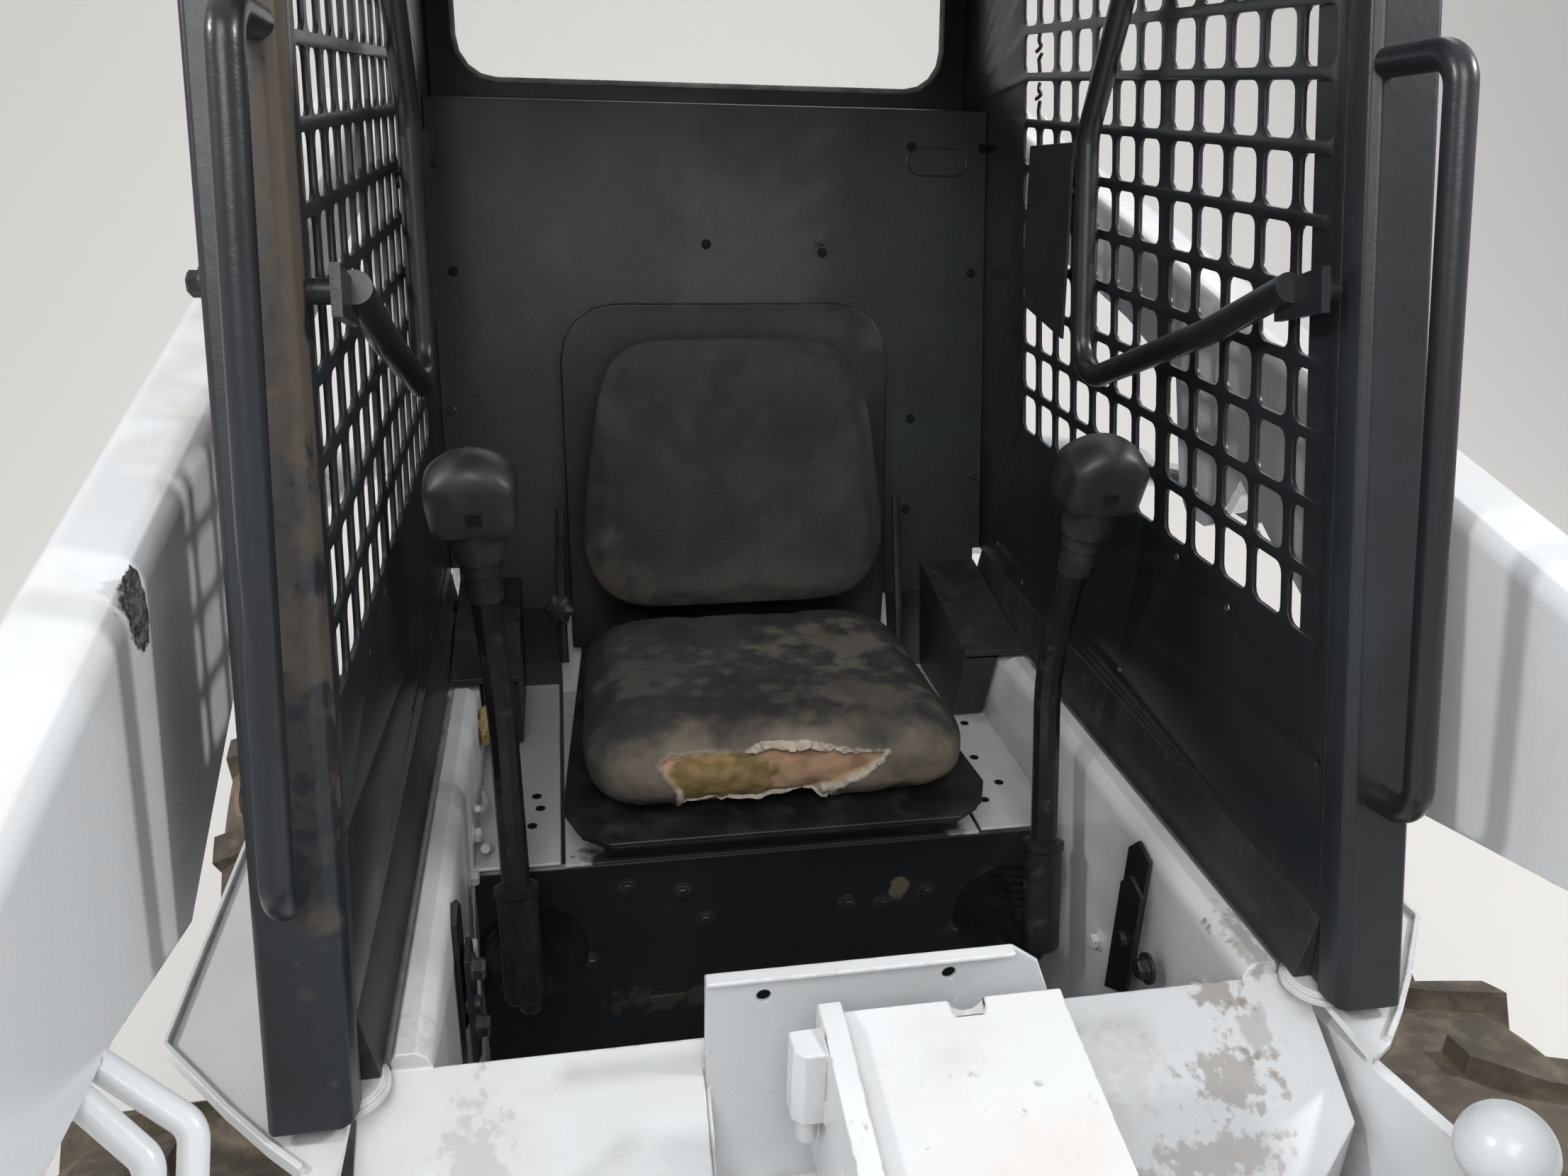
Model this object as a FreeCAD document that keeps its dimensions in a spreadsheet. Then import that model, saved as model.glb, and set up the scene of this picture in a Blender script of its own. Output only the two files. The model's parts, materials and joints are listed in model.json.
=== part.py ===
"""Skid steer loader: chassis, tilting cab, lift arms, bucket carrier, bucket, wheels.

X runs to the operator's left, Y to the rear and Z up, in millimetres.
The origin is on the floor under the middle of the machine.
"""
import math
import os
import re

import FreeCAD, Part
import Sketcher

# Driving dimensions. Places along Y count from the machine's middle, and along Z from the floor.
SIZES = {
    # Wheels
    "tyre_radius": 347, "tyre_width": 262, "rim_radius": 190, "rim_width": 200,
    "rim_wall": 14, "flange_high": 16, "disc_inset": 30, "disc_thick": 12,
    "track_reach": 170, "front_axle": -150, "wheel_base": 930,
    "hub_radius": 62, "hub_clearance": 0.06, "lug_height": 22, "lug_count": 14,
    # Lower frame and fenders
    "belly_height": 190, "frame_half": 440, "wall_thick": 61, "plate": 10,
    "frame_top": 782, "nose_front": -345, "nose_bend": -320, "nose_drop": 150,
    "nose_inset": 57, "nose_corner": -246, "well_front": -90, "tail_end": 1600,
    "rail_rear": 585, "rail_rise": 16,
    "cheek_gap": 12, "cheek_thick": 16, "cheek_front": -335, "cheek_low": 480,
    "tie_hole": 20, "tie_hole_level": 570, "stop_ball": 37, "stop_rise": 34,
    "fender_reach": 170, "fender_rear": 311, "fender_lip": 7,
    "foot_pad": 35, "rest_gap": 0.5,
    # Guard on the nose
    "guard_half": 148, "guard_rear": -113, "guard_plate": 5, "guard_lip": 14,
    "guard_top": 872, "cover_left": -62, "cover_rear": -170,
    # Operator's station
    "cab_inset": 10, "cab_skin": 5, "cab_bottom": 794, "cab_top": 1955, "roof_thick": 25,
    "cab_lean": 16, "post_foot": -129, "post_width": 62, "post_depth": 55,
    "post_nose": 32, "post_slot": 14, "sill_step": 12, "sill_top": 862, "sill_width": 36,
    "back_foot": 857, "back_lean": 12.6, "back_slope": 60,
    "shelf_height": 1535, "shelf_rear": 1150,
    "window_low": 1565, "window_drop": 85, "window_half": 390, "window_round": 62,
    "window_lap": 15, "pane": 5,
    "mesh_pitch": 62.9, "mesh_row": 61.3, "mesh_hole": 50, "mesh_front": 150,
    "mesh_level": 1620, "mesh_gap": 14.5, "mesh_border": 10,
    "bar_radius": 14, "bar_bend": 50, "bar_front": 1412, "bar_bend_y": 555,
    "bar_bend_z": 1522, "bar_elbow_y": 487, "bar_elbow_z": 1231,
    "handle_radius": 12.5, "handle_bend": 30, "handle_gap": 53, "handle_lean": 37,
    "handle_in": 15, "handle_high": 1604, "handle_low": 996,
    "lamp_half": 300, "lamp_radius": 58,
    "platform_front": 345, "platform_top": 670, "platform_rear": 830,
    "deck_half": 268, "deck_gap": 5, "deck_thick": 5,
    "slot_right": 166, "slot_level": 444, "slot_length": 46,
    "seat_half": 250, "seat_front": 285, "seat_level": 745, "cushion_high": 110,
    "cushion_round": 28, "back_high": 430, "rest_half": 235, "rest_lean": 75,
    "rest_round": 70,
    "box_inner": 325, "box_front": 605, "box_top": 790, "box_rise": 46,
    "lever_half": 314, "lever_foot": 233, "lever_bend": 945, "lever_top": 1104,
    "lever_radius": 12, "boot_level": 537, "boot_radius": 64, "boot_step": 6, "boot_rib": 9,
    "grip_wide": 94, "grip_high": 86, "grip_lean": -10,
    "link_y": 108, "link_low": 610, "link_high": 752,
    "cab_hinge_y": 1030, "cab_hinge_z": 1290,
    # Towers and engine bay
    "tower_gap": 5, "tower_width": 95, "tower_front": 1040, "tower_top": 1545,
    "hood_level": 1250, "hood_skin": 6, "hood_slot": 18, "hood_slot_pitch": 40,
    "engine_length": 440, "exhaust_x": -345, "exhaust_y": 1480, "exhaust_radius": 28,
    "door_low": 430, "door_thick": 70, "door_skin": 8, "door_slot": 16,
    "door_slot_pitch": 46, "hinge_inset": 30, "door_hinge_y": 1643, "door_pin": 10,
    "hitch_half": 90, "hitch_plate": 16, "hitch_hole": 11,
    # Lift arms, cylinders, carrier and bucket
    "arm_gap": 115, "arm_width": 85, "arm_pivot_y": 1320, "arm_pivot_z": 1470,
    "arm_front": -300, "arm_nose_z": 1120, "arm_belly": 935, "arm_round": 22,
    "cross_y": -525, "cross_z": 795, "line_y": -270, "line_z": 925, "line_radius": 10,
    "carrier_y": -830, "carrier_z": 230, "carrier_half": 520,
    "pin_radius": 24, "pin_clearance": 0.06, "lug_inset": 3, "lug_plate": 12,
    "lift_base_y": 1370, "lift_base_z": 900, "lift_eye_y": 430, "lift_eye_z": 1105,
    "lift_bore": 34, "lift_rod": 19,
    "tilt_base_y": -540, "tilt_base_z": 1000, "tilt_eye_y": -830, "tilt_eye_z": 415,
    "eye_width": 44, "tilt_half": 400, "tilt_bore": 28, "tilt_rod": 18,
    "tilt_start": 75, "gland_share": 0.72,
    "bucket_half": 760, "bucket_front": -1700, "bucket_back": -945, "bucket_high": 520,
    "bucket_low": 8, "bucket_skin": 8, "edge_thick": 20,
}

# Widths and heights that follow another size by a named step.
FOLLOWING = {
    "well_half": "(frame_half - wall_thick)",
    "nose_half": "(frame_half - nose_inset)",
    "cheek_inner": "(frame_half + cheek_gap)",
    "fender_half": "(frame_half + fender_reach)",
    "track_half": "(frame_half + track_reach)",
    "tower_inner": "(frame_half + tower_gap)",
    "cab_half": "(frame_half - cab_inset)",
    "sill_inner": "(frame_half - cab_inset - sill_step)",
    "arm_inner": "(frame_half + arm_gap)",
    "door_hinge_x": "(frame_half - hinge_inset)",
    "window_high": "(cab_top - window_drop)",
}

doc = FreeCAD.newDocument("skid_steer_loader")
sheet = doc.addObject("Spreadsheet::Sheet", "Sizes")
for row, (alias, value) in enumerate(SIZES.items(), start=1):
    sheet.set(f"A{row}", alias)
    sheet.set(f"B{row}", str(value))
    sheet.setAlias(f"B{row}", alias)
doc.recompute()

parts = []
WORD = re.compile(r"\b(" + "|".join(SIZES) + r")\b")
FOLLOW = re.compile(r"\b(" + "|".join(FOLLOWING) + r")\b")


def expand(text):
    """Writes out the names that follow other sizes."""
    return FOLLOW.sub(lambda found: FOLLOWING[found.group()], str(text))


def bound(text):
    """An expression on the sheet's aliases, as other objects write it."""
    return WORD.sub(r"Sizes.\1", expand(text))


def number(text):
    """What an expression on the aliases comes to, in millimetres or degrees."""
    value = sheet.evalExpression(expand(text))
    return float(getattr(value, "Value", value))


def point(x, y, z):
    return FreeCAD.Vector(number(x), number(y), number(z))


def new_body(label):
    body = doc.addObject("PartDesign::Body", label)
    body.Label = label
    body.AllowCompound = True
    parts.append(body)
    return body


def plane_of(body, role):
    return next(item for item in body.Origin.OriginFeatures if item.Role == role)


def new_sketch(body, role, start):
    """A sketch on one of the body's own planes, moved along its normal."""
    sketch = body.newObject("Sketcher::SketchObject", body.Label + "_outline")
    sketch.AttachmentSupport = [(plane_of(body, role), "")]
    sketch.MapMode = "FlatFace"
    sketch.AttachmentOffset = FreeCAD.Placement(
        FreeCAD.Vector(0, 0, number(start)), FreeCAD.Rotation())
    sketch.setExpression("AttachmentOffset.Base.z", bound(start))
    return sketch


def bind_point(sketch, geometry, end, across, along):
    """Ties one point of a sketch to two expressions."""
    for kind, text in (("DistanceX", across), ("DistanceY", along)):
        index = sketch.addConstraint(
            Sketcher.Constraint(kind, -1, 1, geometry, end, number(text)))
        sketch.setExpression(f"Constraints[{index}]", bound(text))


def add_outline(sketch, points):
    """A closed outline of straight edges through points given as expressions."""
    places = [FreeCAD.Vector(number(a), number(b), 0) for a, b in points]
    first = sketch.GeometryCount
    count = len(places)
    for index, place in enumerate(places):
        sketch.addGeometry(Part.LineSegment(place, places[(index + 1) % count]), False)
    for index, (across, along) in enumerate(points):
        after = first + (index + 1) % count
        sketch.addConstraint(Sketcher.Constraint("Coincident", first + index, 2, after, 1))
        bind_point(sketch, first + index, 1, across, along)


def add_circle(sketch, across, along, radius):
    place = FreeCAD.Vector(number(across), number(along), 0)
    index = sketch.addGeometry(Part.Circle(place, FreeCAD.Vector(0, 0, 1), number(radius)), False)
    bind_point(sketch, index, 3, across, along)
    limit = sketch.addConstraint(Sketcher.Constraint("Radius", index, number(radius)))
    sketch.setExpression(f"Constraints[{limit}]", bound(radius))


def pad(body, role, start, length, points=(), circles=()):
    """Raises an outline, with round holes, from a plane moved along its normal."""
    sketch = new_sketch(body, role, start)
    if points:
        add_outline(sketch, points)
    for across, along, radius in circles:
        add_circle(sketch, across, along, radius)
    feature = body.newObject("PartDesign::Pad", body.Label + "_pad")
    feature.Profile = sketch
    feature.Length = number(length)
    feature.setExpression("Length", bound(length))
    doc.recompute()
    return feature


def pocket(body, role, start, length, points=(), circles=()):
    """Cuts both ways from a plane moved along its normal, by half the length each way."""
    sketch = new_sketch(body, role, start)
    if points:
        add_outline(sketch, points)
    for across, along, radius in circles:
        add_circle(sketch, across, along, radius)
    feature = body.newObject("PartDesign::Pocket", body.Label + "_cut")
    feature.Profile = sketch
    feature.Midplane = True
    feature.Length = number(length)
    feature.setExpression("Length", bound(length))
    doc.recompute()
    return feature


def side_start(side, inner, width):
    """Where a pad along X begins so that it lies between inner and inner + width."""
    return f"{inner}" if side > 0 else f"-({inner}) - ({width})"


def add_shape(label, shape):
    """A sub-part made with Part's own functions from the sheet's sizes."""
    feature = doc.addObject("Part::Feature", label)
    feature.Label = label
    feature.Shape = shape
    feature.Placement = FreeCAD.Placement()
    parts.append(feature)
    return feature


def rod_between(start, end, radius):
    line = end.sub(start)
    return Part.makeCylinder(radius, line.Length, start, line)


def bent_tube(places, radius, bend):
    """A round bar along a path of straight runs joined by arcs."""
    edges = []
    here = places[0]
    for before, corner, after in zip(places, places[1:], places[2:]):
        back = before.sub(corner).normalize()
        ahead = after.sub(corner).normalize()
        half = back.getAngle(ahead) / 2
        reach = bend / math.tan(half)
        enter = corner.add(FreeCAD.Vector(back).multiply(reach))
        leave = corner.add(FreeCAD.Vector(ahead).multiply(reach))
        middle = back.add(ahead).normalize()
        deep = bend / math.sin(half) - bend
        edges.append(Part.makeLine(here, enter))
        edges.append(Part.Arc(enter, corner.add(middle.multiply(deep)), leave).toShape())
        here = leave
    edges.append(Part.makeLine(here, places[-1]))
    path = Part.Wire(edges)
    ring = Part.Wire(Part.makeCircle(radius, places[0], places[1].sub(places[0])))
    return path.makePipeShell([ring], True, True)


def plate_shape(places, along):
    """A flat plate: an outline of points raised by a vector."""
    wire = Part.makePolygon(places + places[:1])
    return Part.Face(wire).extrude(along)


SIDES = (("left", 1), ("right", -1))
AXLES = (("front", "front_axle"), ("rear", "(front_axle + wheel_base)"))
LEAN = "tan(cab_lean * 1deg)"
BACK = "tan(back_lean * 1deg)"


def post_line(height):
    """Y of the front posts' inner front edge at a height."""
    return f"(post_foot + (({height}) - cab_bottom) * {LEAN})"


def back_line(height):
    """Y of the lower back panel's front face at a height."""
    return f"(back_foot + (({height}) - cab_bottom) * {BACK})"


def rounded_box(low, high, radius):
    """A block with every edge rounded."""
    block = Part.makeBox(*high.sub(low), low)
    return block.makeFillet(radius, block.Edges)


def rear_line(height):
    """Y of the side screens' rear edge at a height."""
    if height < number("shelf_height"):
        return number(back_line(height))
    rise = (height - number("shelf_height")) / number("cab_top - roof_thick - shelf_height")
    return number("shelf_rear") + rise * number("back_slope")


def rounded_outline(half, low, high, radius):
    """A rectangle about X = 0 whose corners are rounded in short straight steps."""
    outline = []
    for side, level, sign, turn in ((1, high, -1, 0), (-1, high, -1, 1),
                                    (-1, low, 1, 2), (1, low, 1, 3)):
        for step in range(5):
            angle = math.radians(90 * turn + 22.5 * step)
            across = round(1 - abs(math.cos(angle)), 5)
            along = round(1 - abs(math.sin(angle)), 5)
            outline.append((f"{side} * ({half} - {across} * {radius})",
                            f"{level} + {sign * along} * {radius}"))
    return outline


def cut_top_corners(body, start, length, half, top, radius):
    """Rounds both top corners of an upright plate, seen along Y, in short straight steps."""
    for name, side in SIDES:
        outline = [(f"{side} * ({half} + 5)", f"{top} + 5"),
                   (f"{side} * ({half} + 5)", f"{top} - {radius}")]
        for step in range(5):
            angle = math.radians(22.5 * step)
            across = round(1 - math.cos(angle), 5)
            along = round(1 - math.sin(angle), 5)
            outline.append((f"{side} * ({half} - {across} * {radius})",
                            f"{top} - {along} * {radius}"))
        outline.append((f"{side} * ({half} - {radius})", f"{top} + 5"))
        pocket(body, "XZ_Plane", start, length, outline)


def round_corners(body, base, radius, along, chosen):
    """Fillets the edges of a feature that run along an axis where chosen says so."""
    names = []
    for index, edge in enumerate(base.Shape.Edges, start=1):
        line = edge.Vertexes[-1].Point.sub(edge.Vertexes[0].Point)
        if line.Length < 1e-6:
            continue
        share = abs(getattr(line, along.lower())) / line.Length
        if share > 0.93 and chosen(edge.CenterOfMass):
            names.append(f"Edge{index}")
    feature = body.newObject("PartDesign::Fillet", body.Label + "_round")
    feature.Base = (base, names)
    feature.Radius = number(radius)
    feature.setExpression("Radius", bound(radius))
    doc.recompute()
    return feature


def tyre_shape():
    """A tyre about the X axis: a turned carcass and two staggered rows of lugs."""
    carcass = number("tyre_radius - lug_height")
    half = number("tyre_width / 2")
    bead = number("rim_width / 2 - 8")
    rim = number("rim_radius")
    lip = rim + number("flange_high")
    outline = [(-bead, rim), (bead, rim), (bead, lip), (half - 10, lip + 26),
               (half, carcass - 62), (half - 6, carcass - 16), (half - 30, carcass),
               (-half + 30, carcass), (-half + 6, carcass - 16), (-half, carcass - 62),
               (-half + 10, lip + 26), (-bead, lip)]
    places = [FreeCAD.Vector(across, 0, radius) for across, radius in outline]
    face = Part.Face(Part.makePolygon(places + places[:1]))
    tyre = face.revolve(FreeCAD.Vector(0, 0, 0), FreeCAD.Vector(1, 0, 0), 360)
    lug = [(half - 4, -50), (62, -28), (6, 14), (6, 46), (62, 8), (half - 4, -14)]
    count = int(number("lug_count"))
    foot = carcass - 34
    lugs = []
    for side, turn in ((1, 0), (-1, 180 / count)):
        places = [FreeCAD.Vector(side * across, along, foot) for across, along in lug]
        block = plate_shape(places, FreeCAD.Vector(0, 0, number("tyre_radius") + 8 - foot))
        for step in range(count):
            turned = block.copy()
            turned.rotate(FreeCAD.Vector(0, 0, 0), FreeCAD.Vector(1, 0, 0),
                          turn + step * 360 / count)
            lugs.append(turned)
    tread = rod_between(FreeCAD.Vector(-half, 0, 0), FreeCAD.Vector(half, 0, 0),
                        number("tyre_radius"))
    return tyre.fuse([lug.common(tread) for lug in lugs])


def make_frame():
    body = new_body("main_frame")
    pad(body, "YZ_Plane", "-frame_half", "2 * frame_half", [
        ("nose_front + 100", "belly_height"),
        ("tail_end - 130", "belly_height"),
        ("tail_end", "belly_height + 140"),
        ("tail_end", "frame_top"),
        ("well_front", "frame_top"),
        ("nose_bend", "frame_top - nose_drop"),
        ("nose_front", "frame_top - nose_drop - 50"),
        ("nose_front", "belly_height + 130")])
    pocket(body, "YZ_Plane", "0", "2 * well_half", [
        ("nose_front + 105", "belly_height + plate"),
        ("tail_end - 135", "belly_height + plate"),
        ("tail_end - plate", "belly_height + 145"),
        ("tail_end - plate", "frame_top + 100"),
        ("well_front", "frame_top + 100"),
        ("well_front", "frame_top - plate"),
        ("nose_bend", "frame_top - nose_drop - plate"),
        ("nose_front + plate", "frame_top - nose_drop - 50"),
        ("nose_front + plate", "belly_height + 135")])
    for name, side in SIDES:
        sign = "" if side > 0 else "-"
        pocket(body, "XY_Plane", "frame_top / 2", "2 * frame_top", [
            (f"{sign}nose_half", "nose_front - 50"),
            (f"{sign}nose_half", "nose_corner"),
            (f"{sign}(frame_half + 5)", "nose_corner + 45"),
            (f"{sign}(frame_half + 5)", "nose_front - 50")])
        pad(body, "XZ_Plane", "-rail_rear", "rail_rear - well_front", [
            (f"{sign}well_half", "frame_top - 2"),
            (f"{sign}well_half", "frame_top"),
            (f"{sign}(well_half + 4)", "frame_top + 9"),
            (f"{sign}(well_half + 13)", "frame_top + rail_rise"),
            (f"{sign}(sill_inner - 8)", "frame_top + rail_rise"),
            (f"{sign}(sill_inner - 4)", "frame_top + rail_rise - 8"),
            (f"{sign}(sill_inner - 4)", "frame_top - 2")])
        ledge = "(well_half - deck_half - deck_gap)"
        pad(body, "YZ_Plane", side_start(side, "deck_half + deck_gap", ledge), ledge, [
            ("platform_front", "platform_top - deck_thick"),
            ("platform_rear", "platform_top - deck_thick"),
            ("platform_rear", "platform_top"),
            ("platform_front", "platform_top")])
        pad(body, "YZ_Plane", side_start(side, "cheek_inner", "cheek_thick"), "cheek_thick", [
            ("well_front", "cheek_low"),
            ("well_front", "frame_top - 40"),
            ("nose_corner + 60", "frame_top - 26"),
            ("cheek_front + 14", "frame_top + 2"),
            ("cheek_front - 20", "frame_top + 2"),
            ("cheek_front - 20", "cheek_low")],
            circles=[("cheek_front + 20", "tie_hole_level", "tie_hole")])
        bridge = "(cheek_gap + 32)"
        pad(body, "YZ_Plane", side_start(side, "frame_half - 30", bridge), bridge, [
            ("well_front", "cheek_low + 10"),
            ("well_front", "cheek_low + 40"),
            ("nose_corner + 60", "cheek_low + 40"),
            ("nose_corner + 60", "cheek_low + 10")])
    pocket(body, "XY_Plane", "frame_top", "2 * (nose_drop + plate + 10)", [
        ("-guard_half", "guard_rear"),
        ("guard_half", "guard_rear"),
        ("guard_half", "nose_bend + 30"),
        ("-guard_half", "nose_bend + 30")])


def make_fenders():
    body = new_body("fenders")
    for name, side in SIDES:
        sign = "" if side > 0 else "-"
        outer = [(f"{sign}(nose_half + 86)", "nose_corner + 57"),
                 (f"{sign}(nose_half + 115)", "nose_corner + 84"),
                 (f"{sign}(fender_half - 70)", "nose_corner + 128"),
                 (f"{sign}fender_half", "nose_corner + 209"),
                 (f"{sign}fender_half", "fender_rear")]
        inner = [(f"{sign}(fender_half - 5)", "fender_rear"),
                 (f"{sign}(fender_half - 5)", "nose_corner + 212"),
                 (f"{sign}(fender_half - 74)", "nose_corner + 132"),
                 (f"{sign}(nose_half + 112)", "nose_corner + 89"),
                 (f"{sign}(nose_half + 84)", "nose_corner + 63")]
        pad(body, "XY_Plane", "frame_top - 8", "8", [
            (f"{sign}frame_half", "nose_corner + 40"),
            *outer,
            (f"{sign}(frame_half + 30)", "fender_rear + 90"),
            (f"{sign}frame_half", "fender_rear + 90")])
        pad(body, "XY_Plane", "frame_top - 2", "2 + fender_lip", outer + inner)


def make_towers():
    for name, side in SIDES:
        body = new_body(f"tower_{name}")
        pad(body, "YZ_Plane", side_start(side, "tower_inner", "tower_width"), "tower_width", [
            ("tower_front", "frame_top"),
            ("tail_end", "frame_top"),
            ("tail_end", "frame_top + 380"),
            ("arm_pivot_y + 110", "tower_top"),
            ("arm_pivot_y - 110", "tower_top"),
            ("tower_front + 60", "frame_top + 380")])
        pad(body, "YZ_Plane", side_start(side, "frame_half", "34"), "34", [
            ("tower_front + 60", "frame_top - 260"),
            ("tail_end", "frame_top - 260"),
            ("tail_end", "frame_top + 60"),
            ("tower_front + 60", "frame_top + 60")])
        pad(body, "YZ_Plane",
            side_start(side, "tower_inner + tower_width - 5", "arm_width + 25"),
            "arm_width + 25", circles=[("arm_pivot_y", "arm_pivot_z", "pin_radius")])
        pad(body, "YZ_Plane",
            side_start(side, "tower_inner + tower_width - 5", "arm_width + 5"),
            "arm_width + 5", circles=[("lift_base_y", "lift_base_z", "pin_radius - 2")])


def make_post(name, side):
    body = new_body(f"cab_post_{name}")
    sign = "" if side > 0 else "-"
    inner = "(cab_half + cab_skin)"
    outer = "(cab_half + cab_skin + post_width)"
    front = "(post_foot - post_nose)"
    feature = pad(body, "XY_Plane", "cab_bottom", "cab_top - roof_thick - cab_bottom", [
        (f"{sign}{inner}", "post_foot + post_depth"),
        (f"{sign}{inner}", "post_foot"),
        (f"{sign}cab_half", "post_foot"),
        (f"{sign}cab_half", f"{front} + 16"),
        (f"{sign}(cab_half + 3)", f"{front} + 6"),
        (f"{sign}(cab_half + 11)", f"{front}"),
        (f"{sign}({outer} - 4)", f"{front}"),
        (f"{sign}{outer}", f"{front} + 4"),
        (f"{sign}{outer}", "post_foot + post_depth")])
    lean = math.radians(number("cab_lean"))
    feature.UseCustomVector = True
    feature.AlongSketchNormal = True
    feature.Direction = FreeCAD.Vector(0, math.sin(lean), math.cos(lean))
    feature.setExpression("Direction.y", bound("sin(cab_lean * 1deg)"))
    feature.setExpression("Direction.z", bound("cos(cab_lean * 1deg)"))
    pocket(body, "XZ_Plane", f"-{front}", "16", [
        (f"{sign}(cab_half + 8)", "cab_bottom + 64"),
        (f"{sign}(cab_half + 8 + post_slot)", "cab_bottom + 64"),
        (f"{sign}(cab_half + 8 + post_slot)", "cab_bottom + 64 + post_slot"),
        (f"{sign}(cab_half + 8)", "cab_bottom + 64 + post_slot")])


def mesh_holes(skin):
    """The square holes of one side screen that fit between sill, roof, post and back."""
    pitch = number("mesh_pitch")
    rise = number("mesh_row")
    half = number("mesh_hole") / 2
    border = number("mesh_border")
    lean = math.tan(math.radians(number("cab_lean")))
    lowest = number("sill_top") + border + half
    highest = number("cab_top - roof_thick") - border - half
    below = int((number("mesh_level") - lowest) / rise)
    above = int((highest - number("mesh_level")) / rise)
    holes = []
    for row in range(-min(below, 8), min(above, 4) + 1):
        level = number("mesh_level") + rise * row
        shift = (level - number("mesh_level")) * lean
        for column in range(12):
            gap = number("mesh_gap") if column > 4 else 0
            centre = number("mesh_front") + gap + column * pitch + shift
            front = number(post_line(level)) + border + half
            rear = min(rear_line(level - half), rear_line(level + half)) - border - half
            if front < centre < rear:
                holes.append([
                    FreeCAD.Vector(skin, centre + a * half + b * half * lean, level + b * half)
                    for a, b in ((-1, -1), (1, -1), (1, 1), (-1, 1))])
    return holes


def make_side_screen(name, side):
    skin = side * number("cab_half")
    outline = [
        point(skin, post_line("sill_top"), "sill_top"),
        point(skin, back_line("sill_top"), "sill_top"),
        point(skin, back_line("shelf_height"), "shelf_height"),
        point(skin, "shelf_rear", "shelf_height"),
        point(skin, "shelf_rear + back_slope", "cab_top - roof_thick"),
        point(skin, post_line("cab_top - roof_thick"), "cab_top - roof_thick")]
    rings = [Part.makePolygon(outline + outline[:1])]
    for hole in mesh_holes(skin):
        rings.append(Part.makePolygon(hole + hole[:1]))
    face = Part.makeFace(rings, "Part::FaceMakerBullseye")
    add_shape(f"side_screen_{name}",
              face.extrude(FreeCAD.Vector(side * number("cab_skin"), 0, 0)))


def make_sills():
    """Dusty strips along the screens' feet: a slant one inside, a square one outside."""
    body = new_body("cab_sills")
    rear = back_line("cab_bottom")
    front = post_line("sill_top")
    for name, side in SIDES:
        sign = "" if side > 0 else "-"
        pad(body, "XZ_Plane", f"-{rear}", f"{rear} - {front}", [
            (f"{sign}sill_inner", "cab_bottom"),
            (f"{sign}sill_inner", "cab_bottom + 3"),
            (f"{sign}cab_half", "sill_top"),
            (f"{sign}(cab_half + cab_skin)", "sill_top"),
            (f"{sign}(cab_half + cab_skin)", "cab_bottom")])
        pad(body, "YZ_Plane", side_start(side, "cab_half + cab_skin", "sill_width"),
            "sill_width", [
                ("post_foot + post_depth", "cab_bottom"),
                (back_line("cab_bottom"), "cab_bottom"),
                (back_line("cab_bottom + 30"), "cab_bottom + 30"),
                (f"{post_line('cab_bottom + 30')} + post_depth", "cab_bottom + 30")])


def make_cab_back():
    body = new_body("cab_back")
    inner = "2 * cab_half"
    skin = "cab_skin"
    pad(body, "YZ_Plane", "-cab_half", inner, [
        (back_line("sill_top"), "sill_top"),
        (back_line("shelf_height"), "shelf_height"),
        ("shelf_rear", "shelf_height"),
        ("shelf_rear + back_slope", "cab_top - roof_thick"),
        (f"shelf_rear + back_slope - {skin}", "cab_top - roof_thick"),
        (f"shelf_rear - {skin}", f"shelf_height + {skin}"),
        (f"{back_line('shelf_height + cab_skin')} - {skin}", f"shelf_height + {skin}"),
        (f"{back_line('sill_top')} - {skin}", "sill_top")])
    pad(body, "YZ_Plane", "-sill_inner", "2 * sill_inner", [
        (back_line("cab_bottom"), "cab_bottom"),
        (back_line("sill_top"), "sill_top"),
        (f"{back_line('sill_top')} - {skin}", "sill_top"),
        (f"{back_line('cab_bottom')} - {skin}", "cab_bottom")])
    pocket(body, "XZ_Plane", "-shelf_rear", "300",
           rounded_outline("window_half", "window_low", "window_high", "window_round"))


def make_window():
    body = new_body("rear_window")
    high = "(cab_top - roof_thick - shelf_height)"
    low = f"shelf_rear + back_slope * (window_low - window_lap - shelf_height) / {high}"
    top = f"shelf_rear + back_slope * (window_high + window_lap - shelf_height) / {high}"
    pad(body, "YZ_Plane", "-window_half - window_lap", "2 * (window_half + window_lap)", [
        (low, "window_low - window_lap"),
        (f"{low} + pane", "window_low - window_lap"),
        (f"{top} + pane", "window_high + window_lap"),
        (top, "window_high + window_lap")])


def make_roof():
    body = new_body("cab_roof")
    over = "(cab_half + cab_skin + post_width)"
    roof = pad(body, "YZ_Plane", f"-{over}", f"2 * {over}", [
        (f"{post_line('cab_top - roof_thick')} - post_nose - 15", "cab_top - roof_thick"),
        ("shelf_rear + back_slope", "cab_top - roof_thick"),
        ("shelf_rear + back_slope - 20", "cab_top"),
        (f"{post_line('cab_top')} - post_nose", "cab_top")])
    round_corners(body, roof, "roof_thick * 0.8", "Y",
                  lambda place: place.z > number("cab_top") - 1
                  and abs(place.x) > number(over) - 1)


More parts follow.
